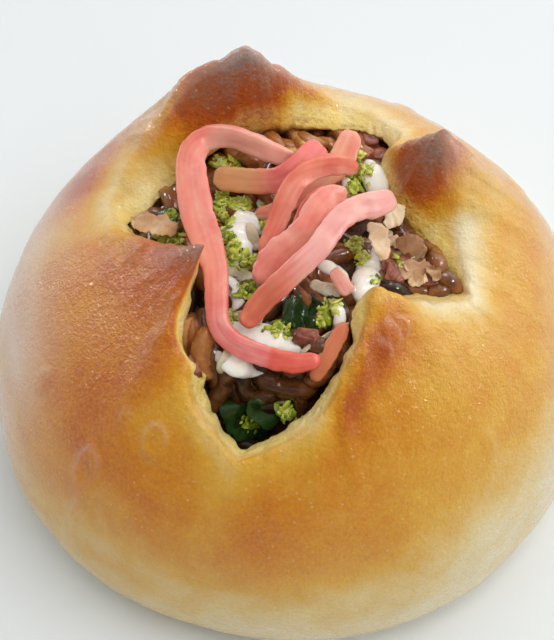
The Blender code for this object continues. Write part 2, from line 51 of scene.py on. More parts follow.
# Bread: the same main sizes as the solid.
DOME_RADIUS = 50.0
DOME_TOP = 56.0
DOME_POWER = 2.317
FOOT_RADIUS = 33.5
FOOT_ROUNDNESS = 0.9
LIFT_WIDTH = 10.0
LIFT_POWER = 1.35
CRUST_WALL = 4.2
SIDE_WALL = 9.5
CAVITY_MID = 24.0
CAVITY_FLOOR = 10.0
CAVITY_FLOOR_RADIUS = 29.0
COLUMNS = 470
DOME_RINGS = 96
FOOT_RINGS = 20
LIP_RINGS = 16
CAVITY_RINGS = 12
CAVITY_LOW_RINGS = 5

# Cut edge, counter-clockwise from the right notch: ridge, inner edge, how pointed the ridge is.
EDGE = [
    ((27.4, -11.2, 49.3), (26.1, -8.0, 46.6), 0.5),
    ((25.9, 0.7, 53.0), (22.4, -2.6, 48.5), 0.0),
    ((22.9, 7.7, 66.0), (16.4, 5.8, 51.0), 0.9),
    ((16.2, 12.4, 57.4), (14.6, 13.6, 51.2), 0.0),
    ((18.0, 19.6, 53.0), (16.2, 18.8, 50.6), 0.2),
    ((13.4, 25.2, 52.0), (13.2, 22.2, 50.0), 0.4),
    ((5.3, 26.4, 54.2), (4.6, 22.4, 50.6), 0.0),
    ((-6.6, 21.3, 69.5), (-5.2, 19.4, 55.0), 0.8),
    ((-15.7, 21.3, 63.5), (-13.8, 15.8, 50.8), 0.55),
    ((-19.4, 18.8, 58.2), (-17.0, 13.2, 50.0), 0.1),
    ((-23.9, 15.2, 54.0), (-19.5, 10.3, 49.5), 0.0),
    ((-26.8, 11.0, 51.6), (-22.2, 6.7, 49.3), 0.2),
    ((-29.0, 5.8, 50.0), (-25.4, 4.2, 48.2), 0.3),
    ((-26.2, -1.6, 53.8), (-23.4, 0.6, 49.4), 0.0),
    ((-21.0, -6.1, 57.2), (-20.0, -2.6, 50.8), 0.1),
    ((-13.6, -11.2, 60.5), (-13.9, -9.3, 56.2), 0.9),
    ((-17.1, -20.8, 55.5), (-15.8, -21.8, 51.8), 0.0),
    ((-15.4, -25.6, 52.2), (-12.9, -24.8, 49.2), 0.1),
    ((-13.8, -30.6, 48.5), (-12.1, -27.4, 46.0), 0.0),
    ((-7.5, -37.1, 44.5), (-6.9, -33.6, 42.4), 0.6),
    ((3.6, -33.6, 48.4), (1.7, -30.4, 46.0), 0.0),
    ((9.8, -24.7, 55.6), (8.4, -23.2, 52.0), 0.0),
    ((12.6, -16.9, 60.0), (9.6, -17.4, 54.8), 0.7),
    ((19.3, -15.3, 53.5), (17.6, -11.0, 50.0), 0.1),
]

# Places where the widest ring stands in or out, seen from above: direction in degrees, then the share of the
# radius.
PLAN_BULGES = [(-118, -0.038), (-60, 0.030)]

# Burnt tips of the flaps: x, y, z, radius, strength.
TIPS = [
    (-6.6, 21.3, 69.5, 9.0, 0.40),
    (22.9, 7.7, 66.0, 5.4, 0.32),
    (-13.6, -11.2, 60.5, 3.4, 0.22),
    (-33.0, 15.0, 45.0, 5.5, 0.24),
]

# Flap tips that end in a point: x, y, z, how far the pull reaches, and the pull.
POINTS = [
    (-6.6, 21.3, 69.5, 1.6, (0.2, 0.0, 0.5)),
    (22.9, 7.7, 66.0, 1.8, (0.3, 0.2, 1.5)),
    (-13.6, -11.2, 60.5, 2.0, (1.7, 0.3, 1.9)),
]

# Browned or pale patches on the skin: x, y, radius, strength.
BROWNED = [
    (-19.5, -10.0, 6.5, 0.12),
    (-25.5, -7.5, 5.0, 0.04),
    (-16.5, -9.5, 3.2, 0.10),
    (-18.2, -15.0, 5.0, 0.10),
    (-24.0, -21.0, 6.0, 0.02),
    (-19.0, -24.0, 4.0, 0.12),
    (12.2, -24.5, 3.4, 0.32),
    (8.2, -31.5, 2.8, 0.30),
    (10.4, -28.2, 2.0, 0.14),
    (16.0, -21.5, 3.5, 0.12),
    (-20.5, 19.5, 5.5, -0.22),
    (29.0, 5.0, 5.5, -0.16),
    (26.0, 10.5, 4.5, 0.08),
    (-8.0, -43.0, 12.0, 0.05),
    (-30.0, -27.0, 9.0, 0.08),
    (7.0, 37.0, 13.0, -0.14),
    (33.0, 12.0, 12.0, 0.02),
    (31.0, -7.0, 6.0, -0.06),
    (27.0, -30.0, 12.0, -0.04),
    (-36.0, 4.0, 7.0, -0.12),
    (-26.5, 15.0, 5.0, -0.10),
    (-11.0, -40.0, 5.0, -0.12),
    (2.0, -40.0, 5.0, -0.08),
    (-19.5, -31.0, 5.0, -0.12),
]

# Small blisters in the skin: x, y, radius, height.
BLISTERS = [
    (-19.7, -33.3, 1.9, 0.34),
    (-30.7, -33.4, 2.3, 0.36),
    (-33.8, -36.6, 1.8, 0.30),
    (-24.0, -30.0, 1.0, 0.22),
    (14.5, -22.0, 1.2, 0.34),
    (16.2, -20.6, 0.9, 0.30),
    (13.6, -24.2, 0.8, 0.26),
    (-38.0, -20.0, 1.4, 0.24),
    (30.0, -30.0, 1.2, 0.18),
    (20.0, 36.0, 1.8, 0.26),
    (-27.0, 34.0, 1.6, 0.24),
    (38.0, 18.0, 1.5, 0.22),
    (27.8, -12.6, 1.3, 0.22),
]

# Filling heap.
HEAP_TOP = 50.6
HEAP_FALL = 0.0058
HEAP_SIDES = 140
HEAP_RINGS = 29
HEAP_REACH = 37.0
HOLLOW_DEPTH = 12.5
HOLLOW_START = -21.5
HOLLOW_LENGTH = 7.0

# The heap's side and floor inside the bread: height and radius of each ring.
HEAP_SIDE = [(30, 38.0), (20, 37.5), (13, 33.0), (11.4, 27.0)]

# Loose noodles: how many, how far from the middle they start and end, and the length of one step.
LOOSE_NOODLES = 105
LOOSE_START = 27.0
LOOSE_END = 31.0
LOOSE_STEP = 1.15

# Room that a noodle's middle keeps under the bread, and the half thickness of the larger ones.
NOODLE_ROOM = 1.9
NOODLE_RADIUS = 1.5

# More than any real distance or height here.
FAR = 99.0

# Camera, and the middle of the picture in its pixels.
CAMERA_TILT = 54.0
CAMERA_DISTANCE = 260.0
CAMERA_AIM = 28.0
CAMERA_LENS = 87.4
SENSOR = 36.0
PICTURE_SIZE = (554, 640)
PICTURE_SHIFT = (12.8, 0.7)

# Direction that the broad faces of the toppings turn to: towards the camera.
FACING = Vector((0.0, -math.cos(math.radians(CAMERA_TILT)), math.sin(math.radians(CAMERA_TILT))))


# General helpers.


def smooth_step(t):
    t = np.clip(t, 0, 1)
    return t * t * (3 - 2 * t)


def drift(x, y, z):
    """Noise between -1 and 1."""
    return noise.noise(Vector((x, y, z)))


def rough(points, size, seed):
    """Noise between -1 and 1 at each point, with features about size millimetres wide."""
    shift = Vector((seed * 7.3, seed * 3.1, seed * 5.7))
    scale = 1 / size
    return np.array([noise.noise(Vector(p) * scale + shift) for p in points])


def cubic(first, second, start, end, t):
    """The smooth way from first to second that leaves along start and arrives along end."""
    return (
        first * (2 * t**3 - 3 * t**2 + 1)
        + start * (t**3 - 2 * t**2 + t)
        + second * (3 * t**2 - 2 * t**3)
        + end * (t**3 - t**2)
    )


def smooth_route(stations, per_span):
    """Catmull-Rom through rows of numbers, so positions, widths and turns all run smoothly."""
    fixed = np.array(stations, float)
    made = []
    for i in range(len(fixed) - 1):
        start = (fixed[i + 1] - fixed[max(i - 1, 0)]) * 0.5
        end = (fixed[min(i + 2, len(fixed) - 1)] - fixed[i]) * 0.5
        made.extend(cubic(fixed[i], fixed[i + 1], start, end, k / per_span) for k in range(per_span))
    made.append(fixed[-1])
    return np.array(made)


def ring_at(angle, radius, height):
    return np.stack(np.broadcast_arrays(radius * np.cos(angle), radius * np.sin(angle), height), -1)


def add_object(name, data):
    made = bpy.data.objects.new(name, data)
    bpy.context.scene.collection.objects.link(made)
    return made


def make_mesh(name, points, faces, look, attributes):
    data = bpy.data.meshes.new(name)
    data.from_pydata((np.asarray(points, float) * MM).tolist(), [], faces)
    data.update()
    body = bmesh.new()
    body.from_mesh(data)
    bmesh.ops.recalc_face_normals(body, faces=body.faces)
    body.to_mesh(data)
    body.free()
    for key, values in attributes.items():
        layer = data.attributes.new(key, "FLOAT", "POINT")
        layer.data.foreach_set("value", np.asarray(values, np.float32))
    data.materials.append(look)
    data.shade_smooth()
    return add_object(name, data)


def grid_faces(rows, count, offset=0):
    """Faces between rings that each have count points."""
    faces = []
    for row in range(rows - 1):
        for col in range(count):
            after = (col + 1) % count
            low = offset + row * count
            high = low + count
            faces.append((low + col, low + after, high + after, high + col))
    return faces


def place(piece, slot, *nodes):
    """The piece belongs to the part's one body and stands for those solids; slot is not used."""
    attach(piece, "root")
    if nodes:
        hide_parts(*nodes)
    return piece


class Builder:
    """Collects many small closed shapes into one mesh."""

    def __init__(self):
        self.points = []
        self.faces = []
        self.marks = []

    def loft(self, rings, marks=0.0):
        """A closed tube through rings of equal length, with one mark, or a list with one for each point."""
        count = len(rings[0])
        start = len(self.points)
        for ring in rings:
            self.points.extend(tuple(p) for p in ring)
        self.faces.extend(grid_faces(len(rings), count, start))
        for low, turn in ((start, 1), (len(self.points) - count, -1)):
            hub = len(self.points)
            self.points.append(tuple(np.mean(self.points[low:low + count], axis=0)))
            for c in range(count):
                pair = (low + (c + 1) % count, low + c)
                self.faces.append((hub, *pair[::turn]))
        if not isinstance(marks, list):
            marks = [marks] * (len(rings) * count)
        self.marks.extend(marks + [marks[0], marks[-1]])

    def solid(self, points, faces):
        start = len(self.points)
        self.points.extend(tuple(p) for p in points)
        self.faces.extend(tuple(start + i for i in face) for face in faces)
        self.marks.extend([0.0] * len(points))

    def mesh(self, name, look):
        return make_mesh(name, self.points, self.faces, look, {"mark": self.marks})

    def fill(self, name, look):
        """The finished piece, as a part of the filling."""
        return place(self.mesh(name, look_of(look)), "filling", "noodle_filling")


# Materials.

# Colours along the tone of each look, in the 0 to 255 of a screen: position, red, green, blue.
SKIN_TONES = [
    (0.00, 240, 222, 178), (0.14, 234, 200, 124), (0.28, 228, 170, 50), (0.44, 216, 136, 8),
    (0.58, 198, 104, 18), (0.68, 184, 84, 24), (0.80, 174, 96, 56), (0.90, 166, 116, 94),
    (1.00, 154, 128, 122),
]
CRUMB_TONES = [
    (0.00, 255, 240, 196), (0.22, 255, 224, 128), (0.40, 248, 194, 84), (0.60, 206, 138, 76),
    (0.80, 182, 126, 94), (1.00, 138, 106, 94),
]
NOODLE_TONES = [
    (0.00, 44, 27, 14), (0.16, 78, 46, 24), (0.34, 116, 70, 36), (0.60, 164, 102, 52), (0.85, 202, 138, 76),
    (1.00, 224, 174, 112),
]
# The heap shows only in the gaps between noodles: its near-black browns are painted shade for those gaps.
HEAP_TONES = [(0.25, 30, 17, 8), (0.45, 62, 36, 16), (0.60, 98, 60, 30), (0.78, 58, 52, 20)]
DRESSING_TONES = [(0.25, 248, 240, 214), (0.50, 254, 250, 236), (0.75, 255, 254, 248)]
ONION_TONES = [(0.25, 186, 162, 124), (0.50, 216, 198, 164), (0.75, 236, 226, 202)]
SEAWEED_TONES = [
    (0.00, 66, 84, 12), (0.30, 120, 142, 22), (0.60, 180, 196, 50), (0.85, 218, 222, 96),
    (1.00, 232, 232, 146),
]
LEAF_TONES = [(0.00, 24, 42, 16), (0.35, 46, 76, 26), (0.65, 98, 122, 40), (1.00, 186, 196, 92)]
MEAT_TONES = [(0.25, 92, 40, 26), (0.48, 146, 78, 54), (0.66, 178, 112, 82), (0.85, 206, 152, 116)]
ORANGE_TONES = [(0.00, 198, 64, 36), (0.35, 228, 110, 80), (0.65, 240, 150, 120), (1.00, 244, 188, 158)]
PINK_TONES = [(0.00, 188, 52, 58), (0.35, 218, 86, 92), (0.65, 234, 126, 124), (1.00, 242, 174, 166)]
TAN_TONES = [(0.00, 186, 116, 70), (0.50, 214, 152, 100), (1.00, 228, 184, 136)]
FISH_TONES = [(0.00, 138, 92, 62), (0.35, 186, 140, 98), (0.65, 220, 182, 140), (1.00, 244, 222, 188)]
FLOOR_TONES = [(0.2, 228, 232, 233), (0.8, 236, 239, 240)]

# The part of a noise's range that most of its values lie in.
COMMON = (0.3, 0.7)


def linear(red, green, blue):
    """A colour given in the 0 to 255 of a screen, as the linear values shaders take."""
    made = []
    for value in (red, green, blue):
        v = value / 255
        made.append(v / 12.92 if v <= 0.04045 else ((v + 0.055) / 1.055) ** 2.4)
    return (*made, 1.0)


class Look:
    """A material being wired up around one Principled shader."""

    def __init__(self, name, specular=0.5):
        self.material = bpy.data.materials.new(name)
        self.material.use_nodes = True
        self.tree = self.material.node_tree
        self.shader = self.tree.nodes["Principled BSDF"]
        self.feed(self.shader, Specular_IOR_Level=specular)
        self.place = self.node("TexCoord").outputs["Object"]

    def wire(self, source, target):
        if isinstance(source, (int, float, tuple)):
            target.default_value = source
        else:
            self.tree.links.new(source, target)

    def feed(self, node, **sources):
        """Give inputs of a node their numbers, colours or links. A low line stands for a space in a name."""
        for name, source in sources.items():
            self.wire(source, node.inputs[name.replace("_", " ")])

    def node(self, kind, **sources):
        made = self.tree.nodes.new("ShaderNode" + kind)
        self.feed(made, **sources)
        return made

    def noise(self, scale, detail=4.0, roughness=0.55, distortion=0.0):
        made = self.node("TexNoise", Vector=self.place, Scale=scale, Detail=detail)
        self.feed(made, Roughness=roughness, Distortion=distortion)
        return made.outputs["Fac"]

    def cells(self, scale):
        return self.node("TexVoronoi", Vector=self.place, Scale=scale).outputs["Distance"]

    def attribute(self, name):
        made = self.node("Attribute")
        made.attribute_name = name
        return made.outputs["Fac"]

    def math(self, operation, first, second, clamp):
        made = self.node("Math")
        made.operation = operation
        made.use_clamp = clamp
        self.wire(first, made.inputs[0])
        self.wire(second, made.inputs[1])
        return made.outputs[0]

    def add(self, first, second, clamp=False):
        return self.math("ADD", first, second, clamp)

    def times(self, first, second):
        return self.math("MULTIPLY", first, second, False)

    def span(self, value, low, high, to_low=0.0, to_high=1.0):
        made = self.node("MapRange", Value=value, From_Min=low, From_Max=high, To_Min=to_low, To_Max=to_high)
        return made.outputs["Result"]

    def ramp(self, value, stops):
        made = self.node("ValToRGB", Fac=value)
        band = made.color_ramp
        while len(band.elements) < len(stops):
            band.elements.new(0.5)
        for element, (position, *colour) in zip(band.elements, stops):
            element.position = position
            element.color = linear(*colour)
        return made.outputs["Color"]

    def mix(self, share, first, second, colours=True):
        """A blend of two colours, or of two numbers. The node's sockets for them have fixed places."""
        kind, low, out = ("RGBA", 6, 2) if colours else ("FLOAT", 2, 0)
        made = self.node("Mix")
        made.data_type = kind
        self.feed(made, Factor=share)
        self.wire(first, made.inputs[low])
        self.wire(second, made.inputs[low + 1])
        return made.outputs[out]

    def bump(self, height, strength, distance, before=None):
        made = self.node("Bump", Height=height, Strength=strength, Distance=distance)
        if before is not None:
            self.feed(made, Normal=before)
        return made.outputs["Normal"]

    def soften(self, weight, radius, scale):
        self.feed(self.shader, Subsurface_Weight=weight, Subsurface_Radius=radius, Subsurface_Scale=scale)

    def finish(self, colour, roughness, normal=None):
        self.feed(self.shader, Base_Color=colour, Roughness=roughness)
        if normal is not None:
            self.feed(self.shader, Normal=normal)
        return self.material


def crust_look():
    """Baked skin with a dust of dark specks and pale bubble dots, crumb where the dough is torn, and a glaze
    over both; a painted pale sheen and painted glints on the dots stand in for the glaze's reflections.
    """
    look = Look("baked_crust_look", 0.12)
    crumb = look.attribute("crumb")
    browning = look.attribute("browning")
    mottle = look.noise(150, 5, 0.6, 0.4)
    fine = look.noise(2600, 3, 0.6)
    dust = look.span(look.noise(1900, 3, 0.6), *COMMON, -1.0, 1.0)
    tone = look.add(browning, look.span(mottle, 0.25, 0.75, -0.06, 0.06))
    tone = look.add(tone, look.times(dust, look.span(browning, *COMMON, 0.03, 0.11)))
    # Pale bubble dots: partly real small bubbles in the skin, partly painted sparkle highlights; they also
    # raise the bump.
    dots = look.times(look.span(look.cells(620), 0.05, 0.18, 1.0, 0.0), look.span(mottle, 0.35, 0.6))
    # Painted sheen: the skin turns pinkish white where the glaze's reflection is painted in.
    skin = look.mix(look.attribute("bloom"), look.ramp(tone, SKIN_TONES), linear(232, 208, 190))
    skin = look.mix(look.times(dots, 0.38), skin, linear(248, 220, 160))
    pits = look.span(fine, 0.45, 0.75, 0.0, 0.22)
    inside = look.mix(pits, look.ramp(tone, CRUMB_TONES), linear(204, 150, 82))
    gloss = look.span(mottle, *COMMON, 0.42, 0.56)
    dull = look.span(fine, *COMMON, 0.55, 0.80)
    grain = look.span(look.noise(1000, 4, 0.65), *COMMON, 0.0, 0.7)
    relief = look.add(look.add(grain, look.span(fine, *COMMON, 0.0, 0.25)), look.times(dots, 0.25))
    pores = look.times(look.span(look.cells(800), 0.0, 0.5), crumb)
    normal = look.bump(pores, 0.40, 0.0005, look.bump(relief, 0.55, 0.0006))
    glaze = look.bump(look.noise(1700, 2, 0.5), 1.0, 0.00020, look.bump(relief, 0.4, 0.0004))
    look.feed(look.shader, Coat_Weight=0.85, Coat_Roughness=0.07, Coat_Normal=glaze)
    look.feed(look.shader, Sheen_Weight=0.03, Sheen_Roughness=0.4)
    look.soften(0.08, (0.9, 0.4, 0.12), 0.003)
    return look.finish(look.mix(crumb, skin, inside), look.mix(crumb, gloss, dull, False), normal)


def grained_look(name, tones, grain, sway=None, relief=None, soft=None, shine=0.5, specular=0.5):
    """A look that follows one noise, given by its grain.

    sway lets the noise move the shape's own marks: a band of its range, then how far that moves them.
    relief is the bump's strength and depth, and then a finer noise where it has one of its own.
    soft is the light under the surface: weight, radius and scale.
    shine is the roughness, or two that the noise runs between.
    """
    look = Look(name, specular)
    fibre = look.noise(*grain)
    tone = look.add(look.attribute("mark"), look.span(fibre, *sway)) if sway else fibre
    normal = None
    if relief:
        strength, depth, *own = relief
        normal = look.bump(look.noise(*own) if own else fibre, strength, depth)
    if soft:
        look.soften(*soft)
    if isinstance(shine, tuple):
        shine = look.span(fibre, *COMMON, *shine)
    return look.finish(look.ramp(tone, tones), shine, normal)


# Looks that follow one noise, as grained_look takes them.
LOOKS = {
    "fried_noodle_look": {
        "tones": NOODLE_TONES, "grain": (260, 4, 0.6, 0.6), "sway": (0.25, 0.75, -0.22, 0.22),
        "relief": (0.22, 0.0003, 1500, 3), "soft": (0.25, (1.0, 0.45, 0.2), 0.0018), "shine": (0.14, 0.34),
    },
    # Painted shade: the heap is coloured near black as the shade in the gaps between noodles.
    "shaded_filling_look": {
        "tones": HEAP_TONES, "grain": (420, 5, 0.6, 2.2), "relief": (0.8, 0.0012), "shine": (0.3, 0.6),
        "specular": 0.4,
    },
    "dressing_look": {
        "tones": DRESSING_TONES, "grain": (380, 4, 0.55, 0.5), "relief": (0.12, 0.0003, 900, 3),
        "soft": (0.35, (1.0, 0.85, 0.6), 0.002), "shine": 0.12,
    },
    "glassy_onion_look": {
        "tones": ONION_TONES, "grain": (420, 4, 0.6, 1.2), "relief": (0.25, 0.0004),
        "soft": (0.6, (1.0, 0.8, 0.5), 0.003), "shine": 0.14,
    },
    "seaweed_powder_look": {
        "tones": SEAWEED_TONES, "grain": (700, 4, 0.6), "sway": (*COMMON, -0.15, 0.15),
        "relief": (0.4, 0.0003), "soft": (0.2, (0.6, 0.8, 0.2), 0.001), "shine": (0.25, 0.55),
    },
    "dark_leaf_look": {
        "tones": LEAF_TONES, "grain": (330, 4, 0.6, 1.4), "sway": (*COMMON, -0.2, 0.2),
        "relief": (0.5, 0.0005), "shine": (0.10, 0.28),
    },
    "cooked_meat_look": {
        "tones": MEAT_TONES, "grain": (300, 5, 0.65, 1.0), "relief": (0.6, 0.0006),
        "soft": (0.2, (1.0, 0.4, 0.3), 0.0015), "shine": (0.24, 0.5),
    },
    "fish_flake_look": {
        "tones": FISH_TONES, "grain": (420, 5, 0.65, 1.6), "sway": (0.25, 0.75, -0.2, 0.2),
        "relief": (0.35, 0.0003), "soft": (0.35, (1.0, 0.6, 0.4), 0.001), "shine": (0.35, 0.6),
    },
    "pale_table_look": {"tones": FLOOR_TONES, "grain": (3.0, 3), "shine": 0.6, "specular": 0.15},
}


def ginger_look():
    """Moist ginger: mark says how light it is, partly painted light and shade, and hue how pink."""
    look = Look("pickled_ginger_look", 0.35)
    fibre = look.noise(240, 5, 0.6, 0.5)
    tone = look.add(look.attribute("mark"), look.span(fibre, 0.25, 0.75, -0.12, 0.12))
    hue = look.add(look.attribute("hue"), look.span(fibre, 0.25, 0.75, 0.15, -0.15), True)
    fresh = look.mix(hue, look.ramp(tone, ORANGE_TONES), look.ramp(tone, PINK_TONES))
    colour = look.mix(look.attribute("tan"), fresh, look.ramp(tone, TAN_TONES))
    look.soften(0.55, (1.0, 0.40, 0.30), 0.0020)
    normal = look.bump(look.noise(1500, 3, 0.6), 0.14, 0.00025)
    return look.finish(colour, look.span(fibre, *COMMON, 0.30, 0.46), normal)


def look_of(name):
    return grained_look(name, **LOOKS[name])


# Bread.


def plan_radius(angle):
    wave = 0.012 * np.cos(2 * angle) + 0.024 * np.sin(2 * angle)
    wave = wave + 0.010 * np.cos(3 * angle) - 0.003 * np.sin(3 * angle)
    for facing, amount in PLAN_BULGES:
        wave = wave + amount * np.exp(5.3 * (np.cos(angle - math.radians(facing)) - 1))
    return DOME_RADIUS * (1 + wave)


def widest_height(angle):
    return 13.2 - 2.4 * np.cos(angle) + 1.8 * np.sin(angle)


def dome_point(angle, tilt):
    radius = plan_radius(angle) * np.cos(tilt) ** (2 / DOME_POWER)
    low = widest_height(angle)
    return ring_at(angle, radius, low + (DOME_TOP - low) * np.sin(tilt) ** (2 / DOME_POWER))


def dome_height(x, y):
    angle = np.arctan2(y, x)
    share = np.clip(1 - (np.hypot(x, y) / plan_radius(angle)) ** DOME_POWER, 0, None)
    low = widest_height(angle)
    return low + (DOME_TOP - low) * share ** (1 / DOME_POWER)


def edge_point(points, sharp, i, t):
    """A point of the closed cut edge on the way from one of its rows to the next."""
    total = len(points)
    j = (i + 1) % total
    start = (points[j] - points[i - 1]) * 0.5 * (1 - sharp[i])
    end = (points[(j + 1) % total] - points[i]) * 0.5 * (1 - sharp[j])
    return cubic(points[i], points[j], start, end, t)


def edge_curves():
    outer = np.array([row[0] for row in EDGE])
    inner = np.array([row[1] for row in EDGE])
    sharp = np.array([row[2] for row in EDGE])
    steps = np.linalg.norm(np.roll(outer, -1, 0) - outer, axis=1)
    angle = np.arctan2(outer[:, 1], outer[:, 0])
    turns = np.diff(np.unwrap(np.append(angle, angle[0])))
    weight = 0.5 * steps / steps.sum() + 0.5 * turns / turns.sum()
    tops = []
    feet = []
    for i, share in enumerate(weight):
        count = max(2, round(share * COLUMNS))
        for k in range(count):
            tops.append(edge_point(outer, sharp, i, k / count))
            feet.append(edge_point(inner, sharp * 0.6, i, k / count))
    return np.array(tops), np.array(feet)


def ragged(curve, size, amount, seed):
    """A curve whose points wander a little, as a torn edge does."""
    moved = curve.copy()
    for axis in range(3):
        moved[:, axis] += amount * rough(curve, size, seed + axis)
        moved[:, axis] += 0.5 * amount * rough(curve, size * 0.4, seed + axis + 5)
    return moved


def grid_normals(grid):
    along = np.roll(grid, -1, 1) - np.roll(grid, 1, 1)
    down = np.gradient(grid, axis=0)
    normal = np.cross(along, down)
    length = np.linalg.norm(normal, axis=2, keepdims=True)
    return normal / np.maximum(length, 1e-9)


def outer_rings(ridge, lift_plain, ridge_angle, even):
    """Rings from the foot up to the ridge, how far the flaps lift each point, and how near the ridge is."""
    total = len(ridge)
    reach = np.hypot(ridge[:, 0], ridge[:, 1])
    ridge_tilt = np.arccos(np.clip((reach / plan_radius(ridge_angle)) ** (DOME_POWER / 2), 0, 1))
    lift = ridge[:, 2] - dome_height(ridge[:, 0], ridge[:, 1])
    grown = plan_radius(even)
    foot = FOOT_RADIUS * grown / DOME_RADIUS
    rings = []
    raised = []
    near = []
    for k in range(FOOT_RINGS):
        a = 0.5 * np.pi * k / FOOT_RINGS
        radius = foot + (grown - foot) * math.sin(a) ** FOOT_ROUNDNESS
        rings.append(ring_at(even, radius, widest_height(even) * (1 - math.cos(a) ** FOOT_ROUNDNESS)))
        raised.append(np.zeros(total))
        near.append(np.full(total, FAR))
    for k in range(DOME_RINGS):
        t = (1 - k / DOME_RINGS) ** 1.25
        ring = dome_point(ridge_angle + (even - ridge_angle) * smooth_step(t), ridge_tilt * (1 - t))
        away = np.hypot(ring[:, 0] - ridge[:, 0], ring[:, 1] - ridge[:, 1])
        fade = np.exp(-((away / LIFT_WIDTH) ** LIFT_POWER))
        ring[:, 2] += lift * fade
        rings.append(ring)
        raised.append(lift_plain * fade)
        near.append(away)
    rings.append(ridge)
    raised.append(lift_plain)
    near.append(np.zeros(total))
    return np.array(rings), np.array(raised), np.array(near)


def inner_rings(ridge, brink, span, ridge_angle, even):
    """Rings over the cut face and down the hollow, and their share: 0 to 1 over the face, more inside."""
    total = len(ridge)
    inward = -np.stack([np.cos(ridge_angle), np.sin(ridge_angle)], -1)
    rings = []
    for k in range(1, LIP_RINGS):
        t = k / LIP_RINGS
        ring = ridge + (brink - ridge) * t
        swell = 0.07 * np.minimum(span, 4.0) * math.sin(math.pi * t) ** 0.7
        ring[:, :2] += inward * swell[:, None]
        ring[:, 2] += 0.5 * swell
        rings.append(ring)
    rings.append(brink)
    share = [k / LIP_RINGS for k in range(1, LIP_RINGS + 1)] + [1.2] * (CAVITY_RINGS + CAVITY_LOW_RINGS)
    brink_angle = np.unwrap(np.arctan2(brink[:, 1], brink[:, 0]))
    brink_reach = np.hypot(brink[:, 0], brink[:, 1])
    belly = plan_radius(even) - SIDE_WALL
    for k in range(1, CAVITY_RINGS + 1):
        a = 0.5 * np.pi * k / CAVITY_RINGS
        angle = brink_angle + (even - brink_angle) * smooth_step(k / CAVITY_RINGS)
        radius = brink_reach + (belly - brink_reach) * math.sin(a)
        ring = ring_at(angle, radius, CAVITY_MID + (brink[:, 2] - CAVITY_MID) * math.cos(a))
        ring[:, 2] = np.minimum(ring[:, 2], dome_height(ring[:, 0], ring[:, 1]) - CRUST_WALL)
        rings.append(ring)
    for k in range(1, CAVITY_LOW_RINGS + 1):
        a = 0.5 * np.pi * k / CAVITY_LOW_RINGS
        radius = CAVITY_FLOOR_RADIUS + (belly - CAVITY_FLOOR_RADIUS) * math.cos(a)
        rings.append(ring_at(even, radius, CAVITY_MID - (CAVITY_MID - CAVITY_FLOOR) * math.sin(a)))
    return np.array(rings), np.repeat(np.array(share)[:, None], total, axis=1)


def bread_shape():
    ridge, smooth_brink = edge_curves()
    lift_plain = ridge[:, 2] - dome_height(ridge[:, 0], ridge[:, 1])
    ridge = ragged(ridge, 3.2, 0.42, 1.0)
    brink = ragged(smooth_brink, 2.2, 0.55, 2.0)
    ridge_angle = np.unwrap(np.arctan2(ridge[:, 1], ridge[:, 0]))
    even = np.linspace(0, 2 * np.pi, len(ridge), endpoint=False)
    even = even + np.mean(ridge_angle - even)
    span = np.linalg.norm(ridge - brink, axis=1)
    outside, raised, near = outer_rings(ridge, lift_plain, ridge_angle, even)
    inside, share = inner_rings(ridge, brink, span, ridge_angle, even)
    return outside, raised, near, inside, share, span, smooth_brink


def skin_relief(points, raised, near):
    """How far the skin stands off its plain shape: soft swells, creases by the flaps, and blisters."""
    swell = 0.42 * rough(points, 17.0, 3.0) + 0.14 * rough(points, 6.5, 4.0) + 0.05 * rough(points, 2.4, 5.0)
    beside = np.exp(-near / 7.5) * np.clip(raised / 3.5, 0.12, 1)
    crease = 1 - 2 * np.abs(rough(points, 4.6, 6.0))
    fold = 1 - 2 * np.abs(rough(points, 2.3, 14.0))
    swell += beside * (0.52 * crease + 0.30 * fold + 0.20 * rough(points, 1.4, 7.0))
    for x, y, radius, height in BLISTERS:
        away = np.hypot(points[:, 0] - x, points[:, 1] - y)
        away = np.where(points[:, 2] > 15, away, FAR)
        rim = 0.3 + 0.7 * np.clip(away / radius, 0, 1) ** 2
        swell += 2.6 * height * np.exp(-((away / radius) ** 4)) * rim
    return swell


def patches(points):
    made = np.zeros(len(points))
    for x, y, radius, strength in BROWNED:
        away = np.hypot(points[:, 0] - x, points[:, 1] - y)
        made += strength * np.exp(-((away / radius) ** 2))
    made *= smooth_step((points[:, 2] - 8) / 10)
    for x, y, z, radius, strength in TIPS:
        away = np.linalg.norm(points - np.array([x, y, z]), axis=1)
        made += strength * np.exp(-((away / radius) ** 2))
    return made


# How brown the crust is at each height.
BAKED = [
    (0, 0.02), (5, 0.04), (14, 0.09), (22, 0.17), (29, 0.35), (36, 0.46), (44, 0.49), (50, 0.46), (56, 0.44),
]


